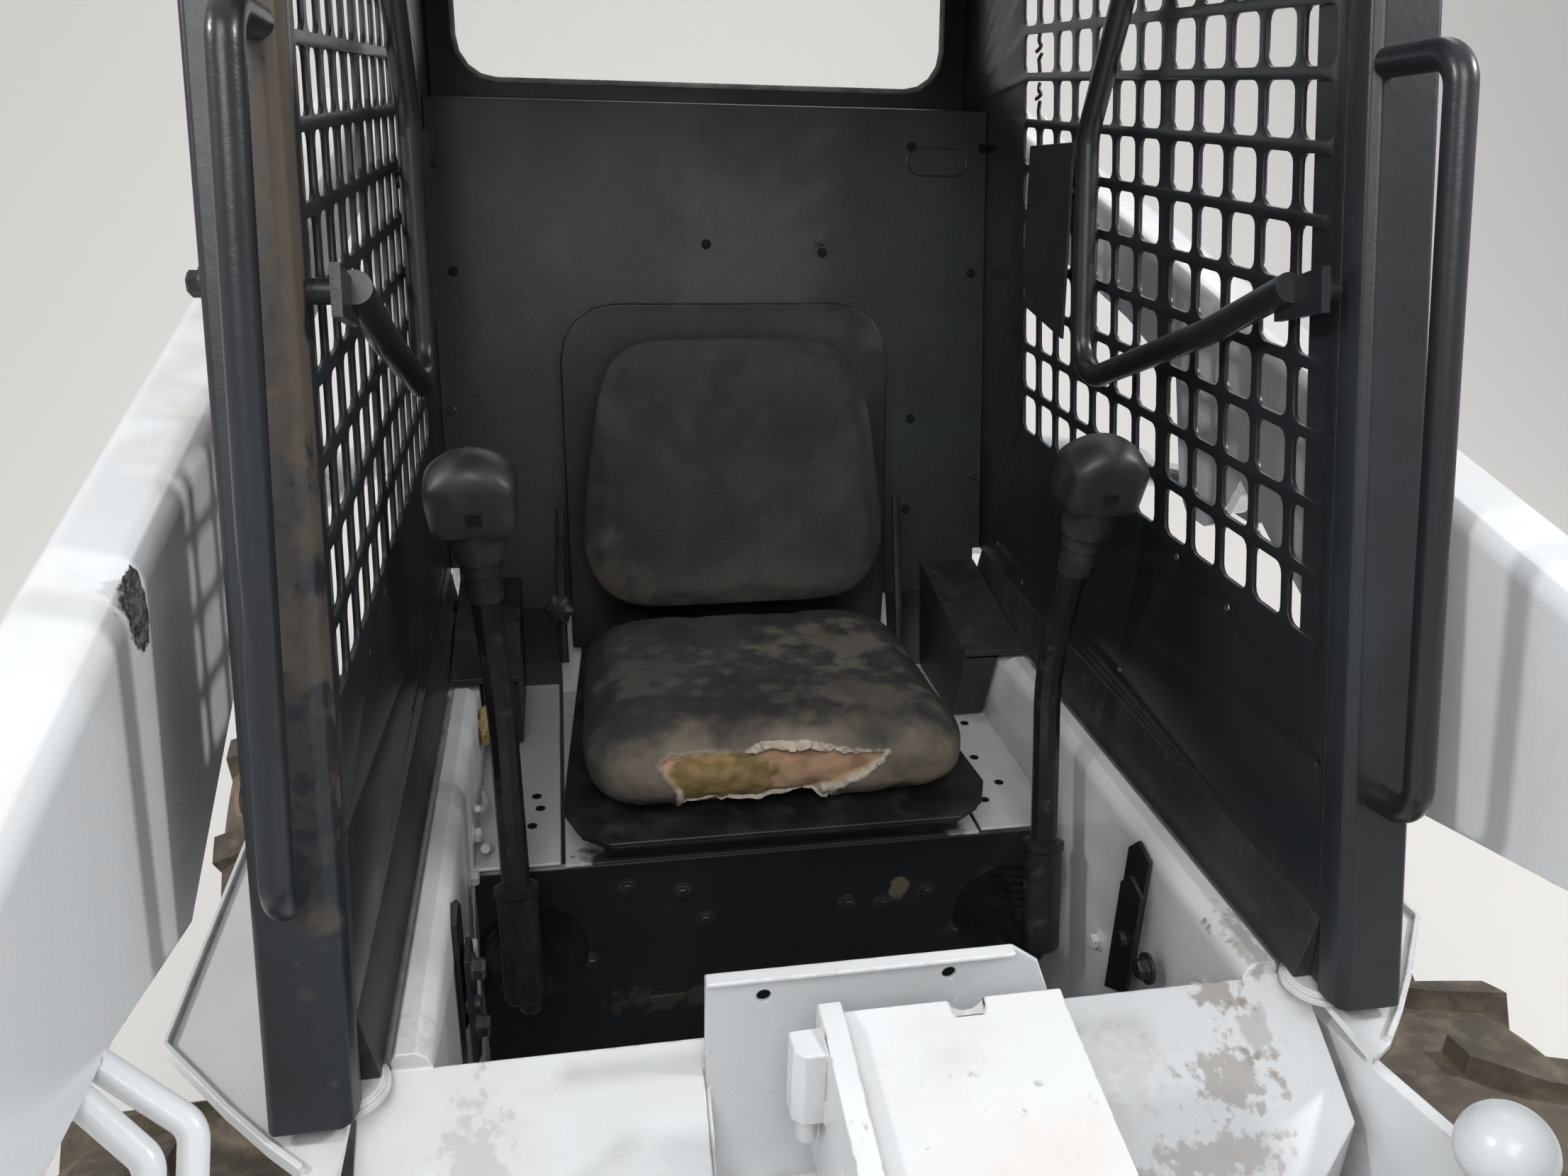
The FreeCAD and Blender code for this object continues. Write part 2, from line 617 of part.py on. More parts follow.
def make_guard_bar(name, side):
    x = side * (number("cab_half") - 30)
    foot_y = number(f"{post_line('bar_front')}")
    foot_z = number("bar_front")
    places = [
        point(x, "400", "cab_top"),
        point(x, "bar_bend_y", "bar_bend_z"),
        point(x, "bar_elbow_y", "bar_elbow_z"),
        point(x, "bar_elbow_y - 278", "bar_elbow_z + 115"),
        point(x, foot_y + 30, foot_z)]
    roof = Part.makeBox(100, 1000, 100, point(x - 50, 0, "cab_top - roof_thick"))
    bar = bent_tube(places, number("bar_radius"), number("bar_bend")).cut(roof)
    inner = x + side * 2
    foot = plate_shape([
        FreeCAD.Vector(inner, foot_y - 20, foot_z - 14),
        FreeCAD.Vector(inner, foot_y + 48, foot_z - 34),
        FreeCAD.Vector(inner, foot_y + 58, foot_z - 2),
        FreeCAD.Vector(inner, foot_y - 8, foot_z + 24)], FreeCAD.Vector(side * 8, 0, 0))
    bolt = rod_between(FreeCAD.Vector(inner, foot_y + 8, foot_z),
                       FreeCAD.Vector(side * number("cab_half"), foot_y + 8, foot_z), 10)
    add_shape(f"guard_bar_{name}", bar.fuse([foot, bolt]).removeSplitter())


def make_shields():
    shields = []
    for name, side in SIDES:
        x = side * (number("cab_half") - 32)
        outline = [point(x, "bar_bend_y + 40", "bar_bend_z - 10"),
                   point(x, "bar_bend_y + 184", "bar_bend_z - 21"),
                   point(x, "bar_bend_y + 160", "bar_bend_z - 197"),
                   point(x, "bar_bend_y + 135", "bar_bend_z - 232"),
                   point(x, "bar_bend_y + 5", "bar_bend_z - 250")]
        plate = plate_shape(outline, FreeCAD.Vector(side * 4, 0, 0))
        for drop in (72, 182):
            here = point(x, "bar_bend_y + 100", f"bar_bend_z - {drop}")
            there = point(f"{side} * cab_half", "bar_bend_y + 100", f"bar_bend_z - {drop}")
            plate = plate.fuse(rod_between(here, there, 10))
        shields.append(plate)
    add_shape("bar_shields", Part.makeCompound(shields))


def make_handle(name, side):
    top = f"({post_line('handle_high')} - post_nose)"
    foot = f"({post_line('handle_low')} - post_nose)"
    x_top = f"{side} * (cab_half + handle_in)"
    x_low = f"{side} * (cab_half + handle_in + 18)"
    places = [
        point(x_top, f"{top} + 10", "handle_high - 8"),
        point(x_top, f"{top} - handle_gap - handle_lean", "handle_high"),
        point(x_low, f"{foot} - handle_gap", "handle_low"),
        point(x_low, f"{foot} + 10", "handle_low - 8")]
    tube = bent_tube(places, number("handle_radius"), number("handle_bend"))
    lean = number("tan(cab_lean * 1deg)")
    post = plate_shape([
        point(f"{side} * (cab_half - 10)", f"{foot} - 400 * {lean}", "handle_low - 400"),
        point(f"{side} * (cab_half - 10)", f"{foot} + 600", "handle_low - 400"),
        point(f"{side} * (cab_half - 10)", f"{top} + 600", "handle_high + 400"),
        point(f"{side} * (cab_half - 10)", f"{top} + 400 * {lean}", "handle_high + 400")],
        FreeCAD.Vector(side * 120, 0, 0))
    add_shape(f"grab_handle_{name}", tube.cut(post))


def make_platform():
    body = new_body("foot_panel")
    pad(body, "YZ_Plane", "-well_half", "2 * well_half", [
        ("platform_front", "belly_height + plate"),
        ("platform_front", "platform_top - deck_thick - 6"),
        ("platform_front + 5", "platform_top - deck_thick"),
        ("platform_front + 25", "platform_top - deck_thick"),
        ("platform_front + 25", "platform_top - deck_thick - 4"),
        ("platform_front + 8", "platform_top - deck_thick - 4"),
        ("platform_front + 5", "platform_top - deck_thick - 8"),
        ("platform_front + 5", "belly_height + plate")])
    pocket(body, "XZ_Plane", "-platform_front", "60", [
        ("-slot_right", "slot_level"),
        ("-slot_right + slot_length", "slot_level"),
        ("-slot_right + slot_length", "slot_level + 18"),
        ("-slot_right", "slot_level + 18")])
    deck = new_body("seat_deck")
    pad(deck, "YZ_Plane", "-deck_half", "2 * deck_half", [
        ("platform_front - 6", "platform_top - deck_thick + 0.5"),
        (f"{back_line('cab_bottom - 60')} - 40", "platform_top - deck_thick + 0.5"),
        (f"{back_line('cab_bottom')} + 5", "cab_bottom"),
        (f"{back_line('cab_bottom + 20')} + 5", "cab_bottom + 20"),
        (back_line("cab_bottom + 20"), "cab_bottom + 20"),
        (back_line("cab_bottom"), "cab_bottom"),
        (f"{back_line('cab_bottom - 60')} - 43", "platform_top"),
        ("platform_front - 6", "platform_top")])


def make_boots():
    """Ribbed bellows round the levers' cross shafts, turned from a stepped outline."""
    shapes = []
    for name, side in SIDES:
        here = point(f"{side} * lever_half", "platform_front", "boot_level")
        places = [FreeCAD.Vector(0, 0, 0), FreeCAD.Vector(number("boot_radius"), 0, 0)]
        rings = 5
        for ring in range(rings):
            radius = number("boot_radius") - ring * number("boot_step")
            deep = ring * number("boot_rib")
            places.append(FreeCAD.Vector(radius, -deep - number("boot_rib") * 0.6, 0))
            places.append(FreeCAD.Vector(radius - number("boot_step") * 1.5,
                                         -deep - number("boot_rib"), 0))
        places.append(FreeCAD.Vector(0, -rings * number("boot_rib"), 0))
        face = Part.Face(Part.makePolygon(places + places[:1]))
        bellows = face.revolve(FreeCAD.Vector(0, 0, 0), FreeCAD.Vector(0, 1, 0), 360)
        bellows.translate(here)
        shapes.append(bellows)
    add_shape("lever_boots", Part.makeCompound(shapes))


def make_lever(name, side):
    reach = "platform_front - 5 * boot_rib"
    shaft = point(f"{side} * lever_half", reach, "boot_level")
    elbow = point(f"{side} * lever_half", "lever_foot", "boot_level")
    socket = point(f"{side} * (lever_half + 9)", "lever_foot + 21", "boot_level + 130")
    middle = point(f"{side} * (lever_half + 13)", "lever_foot + 61", "boot_level + 270")
    bend = point(f"{side} * (lever_half + 18)", "lever_foot + 93", "lever_bend")
    knob = point(f"{side} * (lever_half + 24)", "lever_foot + 60", "lever_top")
    lever = rod_between(shaft, elbow, 18)
    lever = lever.fuse(Part.makeSphere(22, elbow))
    lever = lever.fuse(rod_between(elbow, socket, 22))
    lever = lever.fuse(bent_tube([elbow, middle, bend, knob], number("lever_radius"), 90))
    up = knob.sub(bend).normalize()
    collar = rod_between(knob.sub(FreeCAD.Vector(up).multiply(12)),
                         knob.add(FreeCAD.Vector(up).multiply(14)), 21)
    neck = Part.makeCone(20, 34, 40, knob.add(FreeCAD.Vector(up).multiply(10)), up)
    centre = knob.add(FreeCAD.Vector(up).multiply(86))
    half = FreeCAD.Vector(number("grip_wide") / 2, 31, number("grip_high") / 2)
    grip = rounded_box(centre.sub(half), centre.add(half), 22)
    dent = Part.makeBox(12, 12, 16, centre.add(FreeCAD.Vector(-6, -37, -12)))
    grip = grip.cut(dent)
    grip.rotate(centre, FreeCAD.Vector(1, 0, 0), -number("grip_lean"))
    add_shape(f"drive_lever_{name}", lever.fuse([collar, neck, grip]))


def make_seat():
    pan = new_body("seat_pan")
    pad(pan, "XY_Plane", "platform_top", "seat_level - platform_top", [
        ("-(seat_half - 30)", "seat_front + 60"),
        ("seat_half - 30", "seat_front + 60"),
        ("seat_half - 30", "platform_rear - 60"),
        ("-(seat_half - 30)", "platform_rear - 60")])
    for start, grow in (("seat_level - 14", "0"), ("seat_level - 6", "5")):
        pad(pan, "XY_Plane", start, "6", [
            (f"-(seat_half - 40 + {grow})", f"seat_front - 12 - {grow}"),
            (f"seat_half - 40 + {grow}", f"seat_front - 12 - {grow}"),
            (f"seat_half - 4 + {grow}", "seat_front + 14"),
            (f"seat_half + 14 + {grow}", "seat_front + 60"),
            (f"seat_half - 20 + {grow}", "platform_rear - 14"),
            (f"-(seat_half - 20 + {grow})", "platform_rear - 14"),
            (f"-(seat_half + 14 + {grow})", "seat_front + 60"),
            (f"-(seat_half - 4 + {grow})", "seat_front + 14")])
    cushion = new_body("seat_cushion")
    block = pad(cushion, "YZ_Plane", "-seat_half", "2 * seat_half", [
        ("seat_front - 4", "seat_level"),
        ("platform_rear - 90", "seat_level"),
        ("platform_rear - 90", "seat_level + cushion_high - 25"),
        ("seat_front + 300", "seat_level + cushion_high - 6"),
        ("seat_front + 180", "seat_level + cushion_high"),
        ("seat_front + 60", "seat_level + cushion_high - 12"),
        ("seat_front", "seat_level + 52")])
    round_corners(cushion, block, "cushion_round", "Z",
                  lambda place: abs(place.x) > number("seat_half") - 1
                  and place.y < number("seat_front + 40"))
    rest = new_body("seat_backrest")
    foot = "(platform_rear - 88)"
    block = pad(rest, "YZ_Plane", "-rest_half", "2 * rest_half", [
        (foot, "seat_level + 74"),
        (f"{foot} + 60", "seat_level + 74"),
        (f"{foot} + 60 + rest_lean", "seat_level + 74 + back_high"),
        (f"{foot} + 4 + rest_lean", "seat_level + 70 + back_high"),
        (f"{foot} - 8", "seat_level + 180")])
    round_corners(rest, block, "rest_round", "Y",
                  lambda place: place.z > number("seat_level + 40 + back_high"))
    shell = new_body("seat_shell")
    wide = "(rest_half + 14)"
    pad(shell, "YZ_Plane", f"-{wide}", f"2 * {wide}", [
        (f"{foot} + 60 + rest_gap", "seat_level"),
        (f"{foot} + 60 + rest_gap", "seat_level + 74"),
        (f"{foot} + 60 + rest_gap + rest_lean", "seat_level + 74 + back_high"),
        (f"{foot} + 62 + rest_gap + rest_lean", "seat_level + 90 + back_high"),
        (f"{foot} + 75 + rest_lean", "seat_level + 90 + back_high"),
        (f"{foot} + 72", "seat_level + 74"),
        (f"{foot} + 72", "seat_level")])
    cut_top_corners(shell, f"-({foot} + 60 + rest_lean)", "120", wide,
                    "(seat_level + 90 + back_high)", "(rest_round + 12)")


def make_side_boxes():
    """Black covers beside the seat, which slope up to the back panel."""
    body = new_body("side_boxes")
    rear = back_line("box_top + box_rise") + " - cab_skin - 1"
    for name, side in SIDES:
        width = "(well_half - 4 - box_inner)"
        pad(body, "YZ_Plane", side_start(side, "box_inner", width), width, [
            ("box_front + 35", "platform_top + 6"),
            (back_line("platform_top + 124") + " - cab_skin - 32", "platform_top + 6"),
            (back_line("box_top - 12") + " - cab_skin - 1", "box_top - 12"),
            (rear, "box_top + box_rise + 2"),
            ("box_front", "box_top + 2")])
        lid = "(sill_inner - box_inner)"
        pad(body, "YZ_Plane", side_start(side, "box_inner", lid), lid, [
            ("box_front", "box_top"),
            ("box_front", "box_top + 10"),
            (rear, "box_top + box_rise + 10"),
            (rear, "box_top + box_rise")])


def make_pedals():
    """Twin flat link bars on each wall of the well, with the pin that carries them."""
    shapes = []
    for name, side in SIDES:
        wall = f"{side} * well_half"
        bars = []
        for offset, shift, rise in ((16, 0, 0), (6, 12, 38)):
            x = f"{side} * (well_half - {offset})"
            bars.append(plate_shape([
                point(x, f"link_y + {shift} - 24", f"link_low + {rise}"),
                point(x, f"link_y + {shift} + 24", f"link_low - 30 + {rise}"),
                point(x, f"link_y + {shift} + 26", f"link_high - 20 + {rise}"),
                point(x, f"link_y + {shift} + 8", f"link_high + {rise}"),
                point(x, f"link_y + {shift} - 22", f"link_high - 8 + {rise}")],
                FreeCAD.Vector(side * 5, 0, 0)))
        pin = rod_between(point(wall, "link_y", "link_low + 60"),
                          point(f"{side} * (well_half - 22)", "link_y", "link_low + 60"), 9)
        shapes.append(bars[0].fuse([bars[1], pin]))
    add_shape("pedal_links", Part.makeCompound(shapes))


def make_front_guard():
    """A folded rear plate, and a humped cover with a lug and pin at its left end."""
    body = new_body("front_guard")
    pad(body, "XZ_Plane", "-guard_rear", "guard_plate", [
        ("-guard_half", "frame_top - nose_drop - 8"),
        ("-guard_half", "guard_top"),
        ("guard_half - 22", "guard_top"),
        ("guard_half + 2", "guard_top - 18"),
        ("guard_half + 30", "frame_top"),
        ("guard_half + 30", "frame_top - 2"),
        ("guard_half", "frame_top - 2"),
        ("guard_half", "frame_top - nose_drop - 8")],
        circles=[("-guard_half + 51", "guard_top - 26", "6"),
                 ("guard_half - 80", "guard_top - 22", "6")])
    pad(body, "XZ_Plane", "-guard_rear", "guard_lip", [
        ("-guard_half", "guard_top - guard_plate"),
        ("-guard_half", "guard_top"),
        ("guard_half - 22", "guard_top"),
        ("guard_half - 26", "guard_top - guard_plate")])
    pad(body, "YZ_Plane", "cover_left", "guard_half - cover_left", [
        ("cover_rear", "guard_top - 2"),
        ("cover_rear - 20", "guard_top - 8"),
        ("cover_rear - 160", "guard_top - 36"),
        ("cover_rear - 215", "guard_top - 75"),
        ("cover_rear - 240", "guard_top - 130"),
        ("cover_rear - 246", "frame_top - nose_drop"),
        ("nose_bend", "frame_top - nose_drop + 1"),
        ("nose_bend + 30", "frame_top - nose_drop + 21"),
        ("nose_bend + 30", "frame_top - 60"),
        ("cover_rear", "frame_top - 60")])
    pocket(body, "XZ_Plane", "-cover_rear", "30",
           circles=[("cover_left + 126", "guard_top + 2", "16")])
    pad(body, "YZ_Plane", "cover_left", "20", [
        ("cover_rear + 3", "guard_top + 6"),
        ("cover_rear - 20", "guard_top + 6"),
        ("cover_rear - 160", "guard_top - 20"),
        ("cover_rear - 212", "guard_top - 60"),
        ("cover_rear - 180", "frame_top - 60"),
        ("cover_rear + 3", "frame_top - 60")])
    pad(body, "XY_Plane", "guard_top - 74", "72", [
        ("cover_left - 27", "cover_rear - 16"),
        ("cover_left + 10", "cover_rear - 14"),
        ("cover_left + 10", "cover_rear - 46"),
        ("cover_left - 18", "cover_rear - 46"),
        ("cover_left - 27", "cover_rear - 38")])
    pad(body, "XY_Plane", "guard_top - 102", "40",
        circles=[("cover_left - 12", "cover_rear - 30", "9")])
    pad(body, "YZ_Plane", "-guard_half", "guard_plate", [
        ("guard_rear - guard_plate / 2", "frame_top - nose_drop - 8"),
        ("guard_rear - guard_plate / 2", "frame_top - 30"),
        ("nose_bend + 40", "frame_top - nose_drop + 12"),
        ("nose_bend + 40", "frame_top - nose_drop - 8")])
    pad(body, "XY_Plane", "frame_top - nose_drop - 8", "guard_plate", [
        ("-guard_half", "guard_rear - 2"),
        ("guard_half", "guard_rear - 2"),
        ("guard_half", "nose_bend + 31"),
        ("-guard_half", "nose_bend + 31")])


def make_engine():
    body = new_body("engine_block")
    front = "(tower_front - 10)"
    pad(body, "YZ_Plane", "-230", "460", [
        (front, "belly_height + 60"),
        (f"{front} + engine_length", "belly_height + 60"),
        (f"{front} + engine_length", "belly_height + 660"),
        (front, "belly_height + 660")])
    pad(body, "XY_Plane", "belly_height + plate", "80", [
        ("-120", f"{front} + 60"),
        ("120", f"{front} + 60"),
        ("120", f"{front} + 360"),
        ("-120", f"{front} + 360")])


def make_hood():
    body = new_body("engine_hood")
    pad(body, "YZ_Plane", "-frame_half", "2 * frame_half", [
        ("tower_front - 55", "hood_level - 60"),
        ("tail_end", "hood_level - 60"),
        ("tail_end", "hood_level - 20"),
        ("tower_front - 30", "hood_level"),
        ("tower_front - 55", "hood_level - 20")])
    pocket(body, "YZ_Plane", "0", "2 * (frame_half - hood_skin)", [
        ("tower_front - 55 + hood_skin", "hood_level - 70"),
        ("tail_end - hood_skin", "hood_level - 70"),
        ("tail_end - hood_skin", "hood_level - 20 - hood_skin"),
        ("tower_front - 30 + hood_skin", "hood_level - hood_skin"),
        ("tower_front - 55 + hood_skin", "hood_level - 22 - hood_skin")])
    for row in range(7):
        for name, side in SIDES:
            start = f"tower_front + 190 + {row} * hood_slot_pitch"
            pocket(body, "XY_Plane", "hood_level - 10", "60", [
                (f"{side * 70}", start),
                (f"{side * 280}", start),
                (f"{side * 280}", f"{start} + hood_slot"),
                (f"{side * 70}", f"{start} + hood_slot")])
    pad(body, "XY_Plane", "hood_level - 34", "10", [
        ("-door_hinge_x - 20", "tail_end - 10"),
        ("-door_hinge_x + 20", "tail_end - 10"),
        ("-door_hinge_x + 20", "door_hinge_y + 18"),
        ("-door_hinge_x - 20", "door_hinge_y + 18")])
    pad(body, "XY_Plane", "hood_level - 90", "70",
        circles=[("-door_hinge_x", "door_hinge_y", "door_pin")])


def make_bulkhead():
    body = new_body("bay_walls")
    front = "(tower_front - 50)"
    for side in (1, -1):
        pad(body, "YZ_Plane", side_start(side, "frame_half - 8", "8"), "8", [
            (front, "frame_top"),
            ("tail_end", "frame_top"),
            ("tail_end", "hood_level - 60"),
            (front, "hood_level - 60")])
    pad(body, "YZ_Plane", "-frame_half + 8", "2 * frame_half - 16", [
        (front, "frame_top"),
        (f"{front} + 8", "frame_top"),
        (f"{front} + 8", "hood_level - 60"),
        (front, "hood_level - 60")])


def make_cab_hinge():
    """Brackets with pins on the bay wall, and ears that turn on them."""
    brackets = []
    ears = []
    centre = ("cab_hinge_y", "cab_hinge_z")
    for name, side in SIDES:
        x = side * 300
        pin = rod_between(point(x - 32, *centre), point(x + 32, *centre), 12)
        for offset in (-32, 24):
            outline = [
                point(x + offset, "cab_hinge_y - 20", "hood_level"),
                point(x + offset, "cab_hinge_y + 50", "hood_level - 1.2"),
                point(x + offset, "cab_hinge_y + 20", "cab_hinge_z + 16"),
                point(x + offset, "cab_hinge_y - 10", "cab_hinge_z + 20")]
            pin = pin.fuse(plate_shape(outline, FreeCAD.Vector(8, 0, 0)))
        brackets.append(pin)
        ear = plate_shape([
            point(x - 12, back_line("cab_hinge_z - 40"), "cab_hinge_z - 40"),
            point(x - 12, "cab_hinge_y", "cab_hinge_z - 20"),
            point(x - 12, "cab_hinge_y", "cab_hinge_z + 20"),
            point(x - 12, back_line("cab_hinge_z + 40"), "cab_hinge_z + 40")],
            FreeCAD.Vector(24, 0, 0))
        ear = ear.fuse(rod_between(point(x - 12, *centre), point(x + 12, *centre), 20))
        ears.append(ear.cut(rod_between(point(x - 40, *centre), point(x + 40, *centre), 12.06)))
    add_shape("cab_hinge_brackets", Part.makeCompound(brackets))
    add_shape("cab_hinge_ears", Part.makeCompound(ears))


def make_rear_door():
    body = new_body("rear_door")
    half = "(frame_half - 5)"
    block = pad(body, "YZ_Plane", f"-{half}", f"2 * {half}", [
        ("tail_end + 8", "door_low"),
        ("tail_end + 8 + door_thick - 14", "door_low"),
        ("tail_end + 8 + door_thick", "door_low + 30"),
        ("tail_end + 8 + door_thick", "hood_level - 80"),
        ("tail_end + 8 + door_thick - 14", "hood_level - 50"),
        ("tail_end + 8", "hood_level - 34")])
    round_corners(body, block, "16", "Z",
                  lambda place: place.y > number("tail_end + door_thick"))
    pocket(body, "XZ_Plane", "-(tail_end + 8)", "2 * (door_thick - door_skin)", [
        ("-door_hinge_x + 26", "door_low + 14"),
        (f"{half} - 14", "door_low + 14"),
        (f"{half} - 14", "hood_level - 74"),
        ("-door_hinge_x + 26", "hood_level - 74")])
    for row in range(11):
        start = f"door_low + 190 + {row} * door_slot_pitch"
        pocket(body, "XZ_Plane", "-(tail_end + 8 + door_thick)", "3 * door_skin", [
            ("-260", start), ("260", start),
            ("260", f"{start} + door_slot"), ("-260", f"{start} + door_slot")])
    pad(body, "XZ_Plane", "-(tail_end + 8 + door_thick + 14)", "16", [
        (f"{half} - 70", "(door_low + hood_level) / 2 - 40"),
        (f"{half} - 36", "(door_low + hood_level) / 2 - 40"),
        (f"{half} - 36", "(door_low + hood_level) / 2 + 50"),
        (f"{half} - 70", "(door_low + hood_level) / 2 + 50")])
    pocket(body, "XY_Plane", "(door_low + hood_level) / 2", "hood_level",
           circles=[("-door_hinge_x", "door_hinge_y", "door_pin + pin_clearance")])


def make_bumper():
    body = new_body("rear_bumper")
    pad(body, "YZ_Plane", "-frame_half", "2 * frame_half", [
        ("tail_end", "door_low - 110"),
        ("tail_end + 80", "door_low - 100"),
        ("tail_end + 100", "door_low - 80"),
        ("tail_end + 100", "door_low - 10"),
        ("tail_end", "door_low - 10")])
    pocket(body, "XZ_Plane", "-(tail_end + 100)", "100", [
        ("-hitch_half", "door_low - 200"),
        ("hitch_half", "door_low - 200"),
        ("hitch_half", "door_low"),
        ("-hitch_half", "door_low")])
    pad(body, "XY_Plane", "door_low - 60", "hitch_plate", [
        ("-hitch_half - 6", "tail_end + 48"),
        ("hitch_half + 6", "tail_end + 48"),
        ("hitch_half - 30", "tail_end + 99"),
        ("-hitch_half + 30", "tail_end + 99")],
        circles=[("0", "tail_end + 75", "hitch_hole")])
    pad(body, "XY_Plane", "door_low - 30", "90",
        circles=[("-door_hinge_x", "door_hinge_y", "door_pin")])


def make_axles():
    body = new_body("axle_housings")
    reach = "(track_half - frame_half + 5)"
    for name, side in SIDES:
        for label, centre in AXLES:
            for start, length, radius in (("0", "34", "hub_radius + 48"),
                                          ("30", "30", "hub_radius + 20"),
                                          ("55", reach, "hub_radius"),
                                          ("60", f"{reach} + 10", "hub_radius - 22")):
                pad(body, "YZ_Plane", side_start(side, f"frame_half + {start}", length), length,
                    circles=[(centre, "tyre_radius", radius)])


def revolve_outline(body, outline, centre):
    """Turns an outline of across and radius about a wheel's axle."""
    sketch = new_sketch(body, "XY_Plane", "tyre_radius")
    add_outline(sketch, [(across, f"{centre} + {radius}") for across, radius in outline])
    axle = sketch.addGeometry(Part.LineSegment(
        FreeCAD.Vector(0, number(centre), 0), FreeCAD.Vector(10, number(centre), 0)), True)
    bind_point(sketch, axle, 1, "0", centre)
    bind_point(sketch, axle, 2, "10", centre)
    feature = body.newObject("PartDesign::Revolution", body.Label + "_turn")
    feature.Profile = sketch
    feature.ReferenceAxis = (sketch, ["Axis0"])
    feature.Angle = 360
    doc.recompute()
    return feature


def make_wheel(name, side, label, centre, tyre):
    place = point(f"{side} * track_half", centre, "tyre_radius")
    add_shape(f"tyre_{label}_{name}", Part.makeCompound([tyre.translated(place)]))
    rim = new_body(f"rim_{label}_{name}")
    wall = "(rim_radius - rim_wall)"
    bore = "hub_radius + hub_clearance"

    def out(reach):
        return f"{side} * (track_half + {reach})"

    revolve_outline(rim, [
        (out("(-rim_width / 2)"), "rim_radius + flange_high"),
        (out("(8 - rim_width / 2)"), "rim_radius + flange_high"),
        (out("(8 - rim_width / 2)"), "rim_radius"),
        (out("(rim_width / 2 - 8)"), "rim_radius"),
        (out("(rim_width / 2 - 8)"), "rim_radius + flange_high"),
        (out("rim_width / 2"), "rim_radius + flange_high"),
        (out("rim_width / 2"), wall),
        (out("disc_inset + 46"), wall),
        (out("disc_inset + 26"), f"{wall} - 30"),
        (out("disc_inset + disc_thick"), "hub_radius + 50"),
        (out("disc_inset + disc_thick"), bore),
        (out("disc_inset"), bore),
        (out("disc_inset"), "hub_radius + 54"),
        (out("disc_inset + 14"), f"{wall} - 26"),
        (out("disc_inset + 30"), wall),
        (out("(-rim_width / 2)"), wall)], centre)


def make_arm(name, side):
    body = new_body(f"lift_arm_{name}")
    bore = "pin_radius + pin_clearance"
    main = pad(body, "YZ_Plane", side_start(side, "arm_inner", "arm_width"), "arm_width", [
        ("arm_pivot_y + 82", "arm_pivot_z - 40"),
        ("arm_pivot_y + 82", "arm_pivot_z + 48"),
        ("arm_pivot_y + 58", "arm_pivot_z + 75"),
        ("arm_front", "arm_pivot_z - 306"),
        ("arm_front - 130", "arm_nose_z"),
        ("arm_front - 220", "arm_nose_z - 60"),
        ("carrier_y - 75", "carrier_z + 60"),
        ("carrier_y - 65", "carrier_z - 40"),
        ("carrier_y", "carrier_z - 70"),
        ("carrier_y + 65", "carrier_z - 30"),
        ("arm_front - 175", "arm_belly - 85"),
        ("arm_front - 100", "arm_belly + 45"),
        ("arm_front + 69", "arm_belly + 35"),
        ("arm_front + 235", "arm_belly"),
        ("lift_eye_y - 163", "arm_belly + 164"),
        ("lift_eye_y + 10", "arm_belly + 263"),
        ("lift_eye_y + 270", "arm_belly + 340"),
        ("arm_pivot_y - 20", "arm_pivot_z - 80")],
        circles=[("arm_pivot_y", "arm_pivot_z", bore), ("carrier_y", "carrier_z", bore)])
    round_corners(body, main, "arm_round", "Y",
                  lambda place: place.z > number("arm_pivot_z - 125"))
    reach = "(arm_inner - tilt_half - 35)"
    pad(body, "YZ_Plane", side_start(side, "tilt_half + 35", reach), reach,
        circles=[("tilt_base_y", "tilt_base_z", "44")])
    pin = "(arm_inner - tilt_half + 25)"
    pad(body, "YZ_Plane", side_start(side, "tilt_half - 30", pin), pin,
        circles=[("tilt_base_y", "tilt_base_z", "pin_radius - 2")])
    lug = [("lift_eye_y - 90", "arm_belly + 225"), ("lift_eye_y - 50", "lift_eye_z - 30"),
           ("lift_eye_y - 20", "lift_eye_z - 45"), ("lift_eye_y + 25", "lift_eye_z - 45"),
           ("lift_eye_y + 55", "lift_eye_z - 20"), ("lift_eye_y + 120", "arm_belly + 315")]
    for start in ("arm_inner + lug_inset", "arm_inner + arm_width - lug_inset - lug_plate"):
        pad(body, "YZ_Plane", side_start(side, start, "lug_plate"), "lug_plate", lug)
    for start in ("arm_inner - 3", "arm_inner + arm_width - 1"):
        pad(body, "YZ_Plane", side_start(side, start, "4"), "4",
            circles=[("arm_pivot_y", "arm_pivot_z", "62"), ("arm_pivot_y", "arm_pivot_z", bore)])
    return body


def make_cross_tube():
    body = new_body("arm_crossmember")
    tube = pad(body, "YZ_Plane", "-arm_inner", "2 * arm_inner", [
        ("cross_y - 70", "cross_z - 45"), ("cross_y + 25", "cross_z - 45"),
        ("cross_y + 70", "cross_z + 45"), ("cross_y - 25", "cross_z + 45")])
    round_corners(body, tube, "14", "X", lambda place: True)


